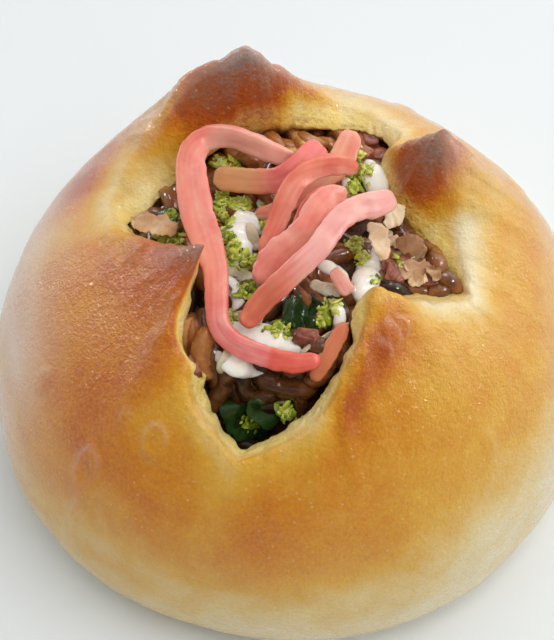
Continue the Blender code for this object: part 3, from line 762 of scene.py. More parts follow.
def browning_of(points, raised, near):
    """How brown the crust is baked, from 0 pale to 1 nearly black, with painted light and shade on its right
    and left sides.
    """
    height = points[:, 2]
    base = np.interp(height, *zip(*BAKED))
    # Painted light and shade: the right side, where the light falls, is made paler, and the left side browner
    # around its middle.
    right = smooth_step((points[:, 0] + 5) / 45)
    base -= 0.15 * right * smooth_step(height / 25)
    base += 0.05 * right * np.exp(-(((height - 17) / 8) ** 2))
    left = smooth_step((-points[:, 0] - 5) / 35)
    base -= 0.02 * left * smooth_step((height - 12) / 14)
    base += 0.16 * left * np.exp(-(((height - 18) / 9) ** 2))
    base += 0.07 * rough(points, 26.0, 8.0) + 0.05 * rough(points, 9.0, 9.0) + 0.03 * rough(points, 3.5, 10.0)
    base += patches(points)
    low_cut = 1 - smooth_step((raised - 0.5) / 4.0)
    base -= 0.30 * low_cut * np.exp(-((near / 3.6) ** 2))
    golden = smooth_step((-points[:, 1] - 13) / 5) * smooth_step((points[:, 0] + 8) / 6)
    base -= 0.24 * golden * np.exp(-((near / 2.4) ** 2)) * (1 - low_cut)
    base += 0.09 * np.clip(raised / 9.0, 0, 1)
    base += 0.08 * np.exp(-near / 1.6) * np.clip(raised / 5.0, 0, 1)
    return np.clip(base, 0, 1)


def bloom_of(points, raised):
    """Painted sheen: a pinkish pale veil standing in for the glaze's reflection on the sides and the rear, on
    the flap tips and on the blister rims, strongest on the left.
    """
    x, y, z = points.T
    streaks = 1 + 0.5 * rough(points * np.array([1.0, 0.35, 1.0]), 5.0, 16.0)
    left = 0.62 * smooth_step((-x - 31) / 15) * smooth_step((y + 34) / 22) * smooth_step((32 - y) / 20)
    rear = 0.60 * smooth_step((y - 27) / 15) * smooth_step((z - 30) / 12)
    right = 0.34 * smooth_step((x - 37) / 11)
    shoulder = 0.40 * np.exp(-(((x + 22) / 6) ** 2) - ((y - 21) / 6) ** 2)
    right = np.maximum(right, shoulder)
    veil = np.maximum(np.maximum(left, rear), right) * streaks
    veil *= smooth_step((z - 3) / 8) * smooth_step((62 - z) / 8)
    veil = np.maximum(veil, 0.26 * np.clip((raised - 3) / 7, 0, 1) * smooth_step(y / 6))
    for at_x, at_y, radius, height in BLISTERS:
        away = np.hypot(x - at_x, y - at_y)
        # Painted highlight: a pale crescent along one rim of each blister.
        crescent = smooth_step(0.5 + (y - at_y + 0.5 * (x - at_x)) / radius) * (z > 15)
        veil += 0.5 * height * np.exp(-(((away - 0.95 * radius) / 0.35) ** 2)) * crescent
    return np.clip(veil, 0, 0.8)


def lip_browning(points, ridge_tone, share, span):
    """The cut faces: they carry on from the ridge and turn pale towards the filling."""
    walls = smooth_step((span - 7) / 6)
    foot = 0.18 + 0.20 * walls
    way = smooth_step(share / (0.45 + 0.55 * walls))
    tone = ridge_tone + (foot - ridge_tone) * way
    rise = np.clip((points[:, 2] - 52.5) / 13, 0, 1)
    tone += walls * 0.42 * rise * (1 - rise) * 1.6
    tone += 0.07 * rough(points, 6.0, 13.0) + 0.05 * rough(points, 2.4, 15.0)
    return np.clip(tone, 0, 1)


def round_ridge(grid, row, reach, passes):
    """Soften the fold at one row of the grid, over a reach that shrinks with each pass."""
    for n in range(passes):
        wide = round(reach * (1 - 0.8 * n / passes))
        low = row - wide
        high = row + wide + 1
        grid[low:high] = 0.5 * grid[low:high] + 0.25 * (grid[low - 1:high - 1] + grid[low + 1:high + 1])
    return grid


def make_bread():
    outside, raised, near, inside, share, span, brink = bread_shape()
    rows, total = raised.shape
    flat = outside.reshape(-1, 3)
    browning = browning_of(flat, raised.ravel(), near.ravel())
    normal = grid_normals(outside)
    centre = np.array([0.0, 0.0, 20.0])
    if np.sum(normal * (outside - centre)) < 0:
        normal = -normal
    move = skin_relief(flat, raised.ravel(), near.ravel()).reshape(rows, total)
    table = smooth_step(outside[:, :, 2] / 5.0)
    outside = outside + normal * (move * table)[:, :, None]

    lips = inside.reshape(-1, 3)
    inner = grid_normals(inside)
    to_middle = np.array([0.0, 0.0, 56.0]) - inside[LIP_RINGS // 2]
    if np.sum(inner[LIP_RINGS // 2] * to_middle) < 0:
        inner = -inner
    to_brink = np.abs(1 - share) * span
    torn = 0.22 * rough(lips, 2.6, 11.0) + 0.16 * rough(lips, 1.1, 12.0)
    torn = torn.reshape(share.shape) * (0.25 + 0.75 * np.exp(-to_brink / 1.6))
    inside = inside + inner * torn[:, :, None]

    grid = round_ridge(np.concatenate([outside, inside]), rows - 1, 10, 16)
    for x, y, z, reach, pull in POINTS:
        away = np.linalg.norm(grid - np.array([x, y, z]), axis=2)
        grid = grid + np.exp(-away / reach)[:, :, None] * np.array(pull)
    all_rows = len(grid)
    points = np.vstack([grid.reshape(-1, 3), [[0, 0, 0], [0, 0, CAVITY_FLOOR]]])
    faces = grid_faces(all_rows, total)
    low = all_rows * total
    last = (all_rows - 1) * total
    faces.extend((low, (c + 1) % total, c) for c in range(total))
    faces.extend((low + 1, last + c, last + (c + 1) % total) for c in range(total))

    ridge_tone = np.tile(browning[-total:], len(inside))
    spans = np.tile(span, len(inside))
    tone = lip_browning(lips, ridge_tone, share.ravel(), spans)
    crumb = smooth_step((share.ravel() * spans - 0.5) / 1.4) * smooth_step((4.6 - to_brink.ravel()) / 2.2)
    crumb = np.where(share.ravel() > 1, 1.0, crumb)
    # Painted sheen, also carried a little way onto the cut faces below the ridge.
    bloom = bloom_of(flat, raised.ravel())
    rim_fade = 1 - smooth_step(share.ravel() * spans / 2.2)
    attributes = {
        "browning": np.concatenate([browning, tone, [0.1, 0.2]]),
        "crumb": np.concatenate([np.zeros(len(flat)), crumb, [0, 1]]),
        "bloom": np.concatenate([bloom, np.tile(bloom[-total:], len(inside)) * rim_fade, [0, 0]]),
    }
    bread = make_mesh("bread", points, faces, crust_look(), attributes)
    place(bread, "crust", "bread_bun")
    return brink


def heap_height(x, y):
    drop = smooth_step((HOLLOW_START - y) / HOLLOW_LENGTH)
    run = y * 0.6 if y < 0 else y
    bumps = 0.5 * drift(x * 0.2, y * 0.2, 3.0)
    return HEAP_TOP - HEAP_FALL * (x * x + run * run) - HOLLOW_DEPTH * drop + bumps


class Opening:
    """Where the bread leaves the filling free, from the inner edge of the cut."""

    def __init__(self, brink):
        angle = np.arctan2(brink[:, 1], brink[:, 0])
        order = np.argsort(angle)
        self.angle = angle[order]
        self.reach = np.hypot(brink[:, 0], brink[:, 1])[order]
        self.height = brink[order, 2]

    def at(self, x, y):
        angle = math.atan2(y, x)
        reach = np.interp(angle, self.angle, self.reach, period=2 * math.pi)
        height = np.interp(angle, self.angle, self.height, period=2 * math.pi)
        return float(reach), float(height)

    def ceiling(self, x, y):
        """Underside of the bread over a point, or a large number where it is open."""
        reach, height = self.at(x, y)
        here = math.hypot(x, y)
        if here < reach - 1.4:
            return FAR
        under = float(dome_height(x, y)) - CRUST_WALL
        return min(height, under) if here > reach else height


def make_heap(opening):
    turns = [2 * math.pi * c / HEAP_SIDES for c in range(HEAP_SIDES)]
    rings = []
    for k in range(1, HEAP_RINGS + 1):
        reach = HEAP_REACH * (k / HEAP_RINGS)
        ring = []
        for a in turns:
            x = reach * math.cos(a)
            y = reach * math.sin(a)
            lump = 0.5 * drift(x * 0.5, y * 0.5, 9.0)
            ring.append((x, y, min(heap_height(x, y) + lump - 0.5, opening.ceiling(x, y) - 0.7)))
        rings.append(ring)
    for height, reach in HEAP_SIDE:
        rings.append([(reach * math.cos(a), reach * math.sin(a), height) for a in turns])
    shape = Builder()
    shape.loft(rings)
    return shape.fill("filling_heap", "shaded_filling_look")


def ball(rows, count):
    """Points and faces of a unit ball."""
    points = [(0, 0, 1)]
    for r in range(1, rows):
        a = math.pi * r / rows
        for c in range(count):
            b = 2 * math.pi * c / count
            points.append((math.sin(a) * math.cos(b), math.sin(a) * math.sin(b), math.cos(a)))
    points.append((0, 0, -1))
    faces = [(0, 1 + c, 1 + (c + 1) % count) for c in range(count)]
    faces += grid_faces(rows - 1, count, 1)
    last = len(points) - 1
    ring = last - count
    faces += [(last, ring + (c + 1) % count, ring + c) for c in range(count)]
    return np.array(points, float), faces


def freeze(piece):
    """Turn the result of a piece's modifiers into its mesh."""
    bpy.context.view_layer.update()
    graph = bpy.context.evaluated_depsgraph_get()
    ready = bpy.data.meshes.new_from_object(piece.evaluated_get(graph))
    piece.modifiers.clear()
    piece.data = ready
    piece.data.shade_smooth()


def surface_of(pieces):
    """A tree for finding the top of several pieces."""
    points = []
    faces = []
    for piece in pieces:
        start = len(points)
        points.extend(v.co[:] for v in piece.data.vertices)
        faces.extend(tuple(start + i for i in p.vertices) for p in piece.data.polygons)
    return BVHTree.FromPolygons(points, faces)


def pixel_ray(px, py):
    """Where the camera stands, and the direction through one pixel of its picture."""
    tilt = math.radians(CAMERA_TILT)
    start = Vector((0, -CAMERA_DISTANCE * math.cos(tilt), CAMERA_AIM + CAMERA_DISTANCE * math.sin(tilt)))
    ahead = Vector((0, math.cos(tilt), -math.sin(tilt)))
    above = Vector((0, math.sin(tilt), math.cos(tilt)))
    focal = CAMERA_LENS / SENSOR * PICTURE_SIZE[1]
    right_by = px - PICTURE_SIZE[0] / 2 - PICTURE_SHIFT[0]
    down_by = py - PICTURE_SIZE[1] / 2 - PICTURE_SHIFT[1]
    way = ahead + Vector((1, 0, 0)) * (right_by / focal) - above * (down_by / focal)
    return start * MM, way.normalized()


def under_pixel(tree, px, py):
    """The point of the filling that the camera sees at a pixel, in millimetres, and its facing."""
    start, way = pixel_ray(px, py)
    hit, normal, _, _ = tree.ray_cast(start, way)
    if hit is None:
        return None, None
    if normal.dot(way) > 0:
        normal = -normal
    return hit / MM, normal


def trail(tree, stations, per_span, ease=2):
    """A smooth run over the filling through pixels; other numbers of a station run along with it."""
    made = []
    for station in smooth_route(stations, per_span):
        point, normal = under_pixel(tree, station[0], station[1])
        if point is not None:
            made.append([*point, *normal, *station[2:]])
    made = np.array(made)
    for _ in range(ease):
        made[1:-1] = 0.25 * made[:-2] + 0.5 * made[1:-1] + 0.25 * made[2:]
    return made


# Noodles that can be told apart: x, y, height of their middle over the heap, and how pale they are; those
# lying down in the front hollow are set darker as painted shade.
NOODLES = [
    ([(-7.6, 16.4, -0.4), (-5.4, 18.6, 0.9), (-2.4, 19.2, 1.2), (1.4, 18.6, 1.0), (4.4, 16.6, -0.4)], 0.62),
    ([(-1.6, 13.6, -0.4), (0.4, 16.4, 0.8), (2.8, 18.8, 1.3), (4.0, 20.0, -0.2)], 0.66),
    ([(-6.0, 13.4, 0.2), (-5.2, 15.6, 2.6), (-4.6, 17.4, 4.6)], 0.66),
    ([(8.4, 12.0, -0.4), (10.8, 14.4, 0.8), (12.2, 16.6, 0.6), (12.0, 18.4, -0.6)], 0.50),
    ([(12.4, 8.6, -0.4), (13.4, 12.0, 0.9), (12.6, 15.0, 0.6)], 0.52),
    ([(-22.4, 7.6, -0.4), (-20.0, 9.0, 0.9), (-17.0, 10.0, 0.8), (-13.4, 9.0, -0.2)], 0.42),
    ([(-23.4, 1.4, -0.4), (-20.0, 2.6, 0.9), (-16.0, 1.8, 0.9), (-12.8, -1.4, -0.4)], 0.48),
    (
        [(-13.0, -13.6, -0.2), (-13.2, -17.4, 0.6), (-11.8, -21.4, 0.9), (-10.6, -24.4, 0.7),
         (-9.8, -27.0, -0.3)],
        0.34,
    ),
    ([(-9.4, -17.8, -0.4), (-9.0, -22.0, 0.8), (-7.8, -25.0, 0.9), (-6.8, -27.8, -0.2)], 0.18),
    ([(-4.0, -20.0, -0.4), (-4.2, -23.4, 0.7), (-2.4, -26.4, 0.9), (0.2, -28.6, -0.3)], 0.10),
    ([(0.8, -20.0, -0.4), (1.6, -23.4, 0.7), (0.4, -26.2, 0.9), (-2.6, -29.0, -0.3)], 0.14),
    ([(3.6, -18.6, -0.6), (3.8, -21.4, 0.2), (2.8, -24.6, 0.3), (2.0, -27.0, -0.4)], 0.18),
    ([(17.6, -8.2, -0.4), (20.4, -6.6, 0.9), (22.0, -4.4, 0.7), (21.0, -1.6, -0.4)], 0.36),
    ([(15.6, 1.0, -0.4), (18.4, -2.4, 0.9), (21.2, -6.0, 0.4)], 0.40),
    ([(5.6, -12.6, -0.4), (9.4, -12.4, 0.9), (12.8, -10.0, 0.8), (15.0, -6.6, -0.4)], 0.44),
]


def noodle_rings(route, radius, sides, seed, ends=(0.72, 0.93, 1.0)):
    """Rings of a noodle with a slightly uneven, squarish section and blunt ends."""
    rings = []
    points = [Vector(p) for p in route]
    total = len(points)
    for i, centre in enumerate(points):
        ahead = points[min(i + 1, total - 1)] - points[max(i - 1, 0)]
        ahead.normalize()
        across = ahead.cross(FACING)
        across.normalize()
        over = across.cross(ahead)
        end = min(i, total - 1 - i)
        size = radius * ends[min(end, 2)]
        size *= 1 + 0.10 * drift(i * 0.4, seed, 0.0)
        ring = []
        for k in range(sides):
            a = 2 * math.pi * k / sides
            reach = size * (1 + 0.10 * math.cos(4 * a + 0.6))
            ring.append(centre + across * (reach * math.cos(a)) + over * (reach * math.sin(a)))
        rings.append(ring)
    return rings


def make_noodles(opening):
    shape = Builder()
    chance = random.Random(21)

    def on_heap(x, y, over):
        return x, y, min(heap_height(x, y) + over, opening.ceiling(x, y) - NOODLE_ROOM)

    for n, (stations, pale) in enumerate(NOODLES):
        route = [on_heap(*station) for station in smooth_route(stations, 6)]
        shape.loft(noodle_rings(route, NOODLE_RADIUS, 12, n), pale)
    for n in range(LOOSE_NOODLES):
        turn = chance.uniform(0, 2 * math.pi)
        reach = LOOSE_START * math.sqrt(chance.random())
        x = reach * math.cos(turn)
        y = reach * math.sin(turn) * 1.15 - 2
        heading = chance.uniform(0, 2 * math.pi)
        bend = chance.uniform(-0.13, 0.13)
        layer = chance.uniform(-1.4, 0.5)
        phase = chance.uniform(0, 6.3)
        steps = chance.randint(16, 28)
        route = []
        for k in range(steps):
            point = on_heap(x, y, layer + 0.6 * math.sin(k * 0.45 + phase))
            sunk = 0.8 if k in (0, steps - 1) else 0.0
            route.append((x, y, point[2] - sunk))
            x += LOOSE_STEP * math.cos(heading)
            y += LOOSE_STEP * math.sin(heading)
            heading += bend + 0.12 * math.sin(k * 0.3 + phase)
            if math.hypot(x, y * 0.9) > LOOSE_END:
                break
        if len(route) > 6:
            # Painted shade: loose noodles are made darker towards the front hollow.
            depth = 0.45 * smooth_step((-y - 16) / 7)
            rings = noodle_rings(route, chance.uniform(1.3, 1.6), 10, n + 40)
            shape.loft(rings, chance.uniform(0.22, 0.6) - depth)
    return shape.fill("fried_noodles", "fried_noodle_look")


# Short noodles that lie on top: pixels, half thickness, then how pale; those down in the front hollow are set
# darker as painted shade.
SHORT_NOODLES = [
    ([(187, 330), (184, 345), (182, 358)], 1.5, 0.75),
    ([(206, 338), (203, 352), (205, 366)], 1.7, 0.62),
    ([(193, 322), (196, 336), (192, 350)], 1.3, 0.50),
    ([(230, 372), (222, 388), (211, 404)], 1.5, 0.26),
    ([(240, 380), (246, 392), (262, 396)], 1.4, 0.12),
    ([(272, 384), (288, 387), (305, 389)], 1.8, 0.22),
    ([(258, 402), (272, 404), (284, 398)], 1.4, 0.06),
    ([(298, 396), (302, 408), (296, 420)], 1.3, 0.16),
    ([(318, 376), (326, 366), (333, 352)], 1.4, 0.44),
    ([(296, 340), (306, 344), (317, 348)], 1.7, 0.22),
    ([(333, 300), (339, 308), (343, 317)], 1.3, 0.16),
    ([(262, 110), (262, 119), (263, 129)], 1.6, 0.60),
    ([(277, 120), (290, 134), (308, 151)], 1.3, 0.86),
    ([(284, 98), (290, 106), (297, 117)], 1.2, 0.40),
    ([(302, 118), (308, 123), (315, 130)], 1.3, 0.55),
    ([(272, 140), (280, 150), (292, 156)], 1.4, 0.66),
    ([(300, 140), (312, 146), (326, 147)], 1.5, 0.60),
    ([(338, 136), (346, 146), (352, 158)], 1.3, 0.50),
    ([(425, 246), (431, 254), (436, 263)], 1.6, 0.50),
    ([(445, 282), (450, 286), (455, 289)], 1.7, 0.46),
    ([(404, 236), (410, 241), (416, 246)], 1.4, 0.34),
    ([(412, 288), (424, 292), (437, 291)], 1.5, 0.40),
    ([(396, 226), (403, 232), (408, 240)], 1.5, 0.30),
    ([(395, 290), (402, 293), (410, 296)], 1.3, 0.04),
    ([(146, 172), (153, 177), (162, 184)], 1.5, 0.46),
    ([(160, 190), (168, 196), (172, 206)], 1.4, 0.54),
    ([(134, 206), (144, 212), (154, 214)], 1.3, 0.42),
    ([(228, 150), (236, 158), (250, 160)], 1.4, 0.56),
    ([(342, 350), (344, 336), (350, 322)], 1.3, 0.40),
]


def make_short_noodles(tree):
    shape = Builder()
    for n, (pixels, radius, pale) in enumerate(SHORT_NOODLES):
        route = trail(tree, pixels, 5)
        points = [Vector(p[:3]) + Vector(p[3:6]) * (0.30 * radius) for p in route]
        for end, beside in ((0, 1), (-1, -2)):
            away = points[end] - points[beside]
            away.normalize()
            under = Vector(route[end][3:6])
            sunk = [points[end] + away * (0.9 * k) - under * (0.45 * k * k) for k in (1, 2)]
            points = sunk[::-1] + points if end == 0 else points + sunk
        shape.loft(noodle_rings(points, 0.86 * radius, 14, 200 + n, (0.9, 1.0, 1.0)), pale)
    return shape.fill("short_noodles", "fried_noodle_look")


# Streams of dressing: pixels and half the thickness.
DRESSING = [
    [(243, 206, 0.8), (241, 218, 1.5), (239, 231, 1.8), (241, 244, 1.7), (243, 255, 1.3), (238, 266, 0.8)],
    [(243, 212, 1.0), (251, 218, 0.9), (262, 226, 1.2), (266, 235, 0.9)],
    [(224, 246, 0.5), (231, 251, 0.9), (241, 256, 1.0), (251, 262, 0.8), (258, 269, 0.5)],
    [(236, 262, 0.7), (234, 268, 0.6), (232, 274, 0.5)],
    [(226, 276, 0.6), (232, 284, 1.1), (238, 293, 1.2), (238, 303, 0.9), (232, 311, 0.5)],
    [(224, 320, 0.8), (235, 331, 1.6), (249, 338, 2.0), (264, 340, 2.1), (282, 343, 1.8), (304, 352, 0.9)],
    [(236, 325, 0.9), (250, 330, 1.3), (267, 334, 1.4), (284, 339, 1.1), (299, 347, 0.6)],
    [(217, 352, 0.7), (224, 360, 1.2), (236, 367, 1.5), (249, 371, 1.2), (262, 373, 0.6)],
    [(366, 160, 0.6), (371, 169, 1.4), (375, 180, 2.0), (377, 191, 1.7), (384, 200, 0.8)],
    [(345, 180, 0.8), (349, 188, 1.1), (352, 196, 0.8)],
    [(375, 244, 0.6), (374, 257, 1.4), (370, 270, 1.9), (366, 283, 1.9), (362, 297, 1.4), (359, 312, 0.6)],
    [(316, 262, 0.6), (325, 267, 1.2), (334, 274, 1.3), (343, 283, 1.2), (351, 292, 0.6)],
    [(263, 127, 1.2), (259, 136, 1.5), (263, 143, 1.2)],
    [(329, 299, 0.5), (337, 306, 0.8), (341, 316, 0.9), (338, 327, 0.8), (330, 335, 0.4)],
    [(217, 161, 0.8), (221, 164, 0.9), (225, 167, 0.7)],
    [(258, 200, 0.6), (264, 206, 0.8), (268, 213, 0.6)],
]


def make_dressing(tree):
    shape = Builder()
    round_points, round_faces = ball(10, 14)
    for n, stations in enumerate(DRESSING):
        run = trail(tree, stations, 14, 16)
        for i, station in enumerate(run):
            size = station[6] * (1 + 0.30 * drift(i * 0.16, n * 3.0, 1.0))
            size *= 0.55 + 0.45 * math.sin(math.pi * (i + 0.5) / len(run))
            centre = station[:3] + station[3:6] * (0.18 * size)
            bead = round_points * np.array([size * 1.15, size * 1.15, size * 0.62])
            shape.solid(bead + centre, round_faces)
    dressing = shape.mesh("white_dressing", look_of("dressing_look"))
    merge = dressing.modifiers.new("merge", "REMESH")
    merge.mode = "VOXEL"
    merge.voxel_size = 0.00020
    merge.use_smooth_shade = True
    ease = dressing.modifiers.new("ease", "SMOOTH")
    ease.factor = 0.6
    ease.iterations = 14
    freeze(dressing)
    return place(dressing, "filling", "noodle_filling")


# Clusters of seaweed powder: pixel, spread in pixels, how many flakes, how pale.
SEAWEED = [
    (222, 199, 6, 60, 0.62),
    (234, 203, 6, 60, 0.66),
    (243, 205, 5, 34, 0.60),
    (221, 214, 5, 40, 0.50),
    (229, 223, 4, 26, 0.62),
    (226, 236, 6, 60, 0.56),
    (234, 252, 7, 56, 0.62),
    (226, 260, 6, 44, 0.56),
    (248, 262, 7, 46, 0.56),
    (263, 214, 6, 46, 0.66),
    (266, 224, 4, 20, 0.56),
    (269, 238, 5, 26, 0.58),
    (246, 290, 8, 40, 0.44),
    (258, 302, 7, 30, 0.36),
    (230, 316, 6, 40, 0.74),
    (275, 327, 6, 30, 0.64),
    (287, 332, 5, 14, 0.60),
    (328, 309, 7, 46, 0.66),
    (322, 322, 5, 24, 0.56),
    (354, 246, 6, 44, 0.70),
    (362, 258, 5, 34, 0.66),
    (357, 178, 7, 64, 0.68),
    (352, 190, 5, 30, 0.60),
    (366, 170, 4, 22, 0.72),
    (164, 236, 7, 60, 0.70),
    (178, 240, 6, 40, 0.66),
    (171, 220, 7, 44, 0.28),
    (222, 163, 6, 40, 0.60),
    (236, 168, 5, 20, 0.50),
    (286, 412, 6, 40, 0.60),
    (250, 424, 8, 14, 0.40),
    (355, 150, 7, 30, 0.74),
    (300, 160, 12, 18, 0.50),
    (404, 254, 14, 16, 0.56),
    (240, 345, 12, 14, 0.60),
    (374, 282, 5, 8, 0.60),
]


# Half lengths of the flakes, how many corners they have, and half of their thickness.
FLAKE_SIZES = (0.3, 0.4, 0.5, 0.65, 0.9)
FLAKE_SIDES = 7
FLAKE_THIN = 0.08


def flake(centre, tilt, long, wide, chance):
    """Rings of one thin jagged flake."""
    side = tilt.cross(Vector((chance.uniform(-1, 1), chance.uniform(-1, 1), 0.3)))
    side.normalize()
    front = tilt.cross(side)
    outline = []
    for k in range(FLAKE_SIDES):
        a = 2 * math.pi * k / FLAKE_SIDES
        jag = chance.uniform(0.72, 1.18)
        curl = chance.uniform(-0.28, 0.28) * long
        outline.append(side * (long * jag * math.cos(a)) + front * (wide * jag * math.sin(a)) + tilt * curl)
    return [[centre + p + tilt * thin for p in outline] for thin in (-FLAKE_THIN, FLAKE_THIN)]


def make_seaweed(tree):
    shape = Builder()
    chance = random.Random(5)
    for px, py, spread, count, pale in SEAWEED:
        for _ in range(count):
            point, normal = under_pixel(tree, chance.gauss(px, spread * 0.6), chance.gauss(py, spread * 0.6))
            if point is None:
                continue
            long = chance.choice(FLAKE_SIZES) * chance.uniform(0.8, 1.2)
            lean = Vector((chance.uniform(-0.4, 0.4), chance.uniform(-0.4, 0.4), chance.uniform(-0.1, 0.3)))
            tilt = normal + lean
            tilt.normalize()
            centre = point + normal * (0.12 * long + chance.uniform(0.0, 0.25))
            mark = min(1.0, max(0.0, chance.gauss(pale + 0.07, 0.24)))
            shape.loft(flake(centre, tilt, long, long * chance.uniform(0.4, 0.8), chance), mark)
    return shape.fill("seaweed_flakes", "seaweed_powder_look")


# Leaf pieces: pixels with width and turn, then thickness and how pale.
LEAVES = [
    ([(284, 316, 3.4, 0), (296, 313, 5.6, 10), (309, 311, 6.2, 20), (325, 312, 4.2, 10)], 0.6, 0.12),
    ([(290, 328, 1.6, 20), (303, 324, 2.8, 10), (318, 326, 2.0, 0)], 0.5, 0.20),
    ([(244, 296, 1.6, 0), (252, 299, 3.0, 20), (262, 304, 2.2, 30)], 0.5, 0.22),
    ([(228, 402, 3.0, 20), (238, 412, 5.6, 10), (252, 424, 7.0, -10), (270, 430, 5.0, -20)], 0.6, 0.10),
    ([(252, 398, 2.0, 10), (262, 410, 4.2, 0), (276, 420, 3.4, -10)], 0.5, 0.16),
    ([(276, 404, 1.6, 0), (286, 410, 2.8, 10), (296, 414, 1.8, 20)], 0.5, 0.78),
    ([(160, 222, 1.8, 0), (170, 218, 2.8, 10), (180, 220, 1.8, 0)], 0.4, 0.30),
    ([(352, 172, 1.6, 40), (358, 180, 2.4, 30), (358, 192, 1.8, 20)], 0.4, 0.86),
    ([(350, 146, 2.0, 0), (354, 156, 2.8, 0), (354, 168, 2.0, 0)], 0.5, 0.92),
]


def section(count, sharp):
    """Points round a flat strip's section, from -1 to 1 each way, closest together at the edges."""
    half = []
    for k in range(count):
        u = math.sin(0.5 * math.pi * (2 * (k + 0.5) / count - 1))
        half.append((u, (1 - abs(u) ** sharp) ** (1 / sharp)))
    return half[::-1] + [(u, -v) for u, v in half]


def ribbon(
    stations, thickness, points, per_span, seed, frayed, waves=0.0, sharp=4.0, groove=0.0, taper=(3, 0.45)
):
    """Rings of a flat flexible strip, and each point's share of its length and place in its section."""
    rings = []
    facing = []
    route = smooth_route(stations, per_span)
    total = len(route)
    around = section(points, sharp)
    for i, station in enumerate(route):
        centre = Vector(station[:3])
        ahead = Vector(route[min(i + 1, total - 1)][:3]) - Vector(route[max(i - 1, 0)][:3])
        ahead.normalize()
        across = ahead.cross(FACING)
        across.normalize()
        over = across.cross(ahead)
        turn = math.radians(station[4])
        wide = across * math.cos(turn) + over * math.sin(turn)
        thick = over * math.cos(turn) - across * math.sin(turn)
        end = min(1, min(i, total - 1 - i) / taper[0])
        close = taper[1] + (1 - taper[1]) * math.sin(0.5 * math.pi * end)
        ring = []
        for u, v in around:
            side = 1 if u > 0 else -1
            wobble = 1 + frayed * drift(i * 0.22, side * 3.0, seed)
            wobble += 0.35 * frayed * drift(i * 0.9, side * 5.0, seed)
            wave = waves * math.sin(1.6 * u + 0.35 * i + seed)
            wave += 0.10 * thickness * drift(i * 0.12, u * 1.2, seed + 4)
            wave += groove * drift(i * 0.03, u * 4.5, seed + 9) * (1 if v > 0 else -1)
            reach = 0.5 * station[3] * u * wobble * (0.35 + 0.65 * close)
            ring.append(centre + wide * reach + thick * (0.5 * thickness * v * close + wave))
            facing.append((i / (total - 1), u, v))
        rings.append(ring)
    return rings, facing


def laid_strip(tree, stations, over, thickness, points, seed, frayed, waves, per_span=5):
    """A ribbon that lies on the filling through pixels."""
    laid = []
    for row in trail(tree, stations, 2):
        point = Vector(row[:3]) + Vector(row[3:6]) * over
        laid.append((*point, row[6], row[7]))
    return ribbon(laid, thickness, points, per_span, seed, frayed, waves)


def make_leaves(tree):
    shape = Builder()
    for n, (stations, thickness, pale) in enumerate(LEAVES):
        rings, _ = laid_strip(tree, stations, 0.7, thickness, 12, n * 2.0, frayed=0.35, waves=0.35)
        shape.loft(rings, pale)
    return shape.fill("leaf_pieces", "dark_leaf_look")


# Glassy onion and cabbage: pixels with width and turn.
ONIONS = [
    [(222, 275, 1.6, 0), (235, 272, 2.4, 10), (250, 280, 2.4, 0), (259, 287, 1.4, 0)],
    [(247, 227, 1.2, 0), (252, 240, 2.2, 10), (258, 251, 1.6, 0)],
    [(268, 250, 1.2, 0), (274, 262, 1.8, 0), (282, 272, 1.2, 0)],
    [(309, 286, 1.4, 0), (324, 290, 2.4, 20), (341, 296, 1.8, 30)],
    [(300, 352, 0.7, 0), (318, 340, 0.7, 0), (338, 328, 0.6, 0), (350, 322, 0.5, 0)],
    [(218, 372, 0.9, 0), (224, 362, 1.3, 0), (228, 352, 0.8, 0)],
    [(236, 312, 1.4, 0), (248, 318, 2.0, 0), (262, 326, 1.4, 0)],
    [(342, 166, 1.2, 0), (350, 160, 1.8, 10), (358, 152, 1.4, 10)],
]


def make_onions(tree):
    shape = Builder()
    for n, stations in enumerate(ONIONS):
        rings, _ = laid_strip(tree, stations, 0.7, 0.6, 10, n * 1.3, frayed=0.25, waves=0.14)
        shape.loft(rings)
    return shape.fill("onion_pieces", "glassy_onion_look")


# Pieces of meat: pixel, half sizes and turn.
MEAT = [
    ((369, 142), (1.7, 2.4, 1.2), 0.2),
    ((364, 156), (1.3, 1.5, 1.1), 0.9),
    ((384, 146), (1.7, 1.5, 1.2), 0.5),
    ((379, 158), (1.5, 1.3, 1.0), 1.4),
    ((388, 258), (1.4, 2.6, 1.2), 0.2),
    ((396, 276), (1.5, 2.2, 1.2), -0.3),
    ((402, 262), (1.4, 1.6, 1.0), 0.8),
    ((194, 366), (1.2, 1.9, 1.0), 0.4),
    ((306, 338), (2.0, 1.1, 1.0), -0.2),
    ((296, 366), (1.9, 1.3, 1.1), 0.5),
    ((428, 284), (1.6, 1.2, 1.0), 0.1),
]


def make_meat(tree):
    shape = Builder()
    round_points, round_faces = ball(16, 24)
    for n, (pixel, size, turn) in enumerate(MEAT):
        point, normal = under_pixel(tree, *pixel)
        middle = point + normal * (0.35 * size[2])
        moved = []
        for p in round_points:
            squared = [math.copysign(abs(v) ** 0.5, v) for v in p]
            bump = 0.92 + 0.34 * noise.noise(Vector(p) * 1.7 + Vector((n * 5.0, 0, 0)))
            x, y, z = (reach * v * bump for reach, v in zip(size, squared))
            spun = (x * math.cos(turn) - y * math.sin(turn), x * math.sin(turn) + y * math.cos(turn), z)
            moved.append(middle + Vector(spun))
        shape.solid(moved, round_faces)
    return shape.fill("meat_pieces", "cooked_meat_look")


# Toppings.

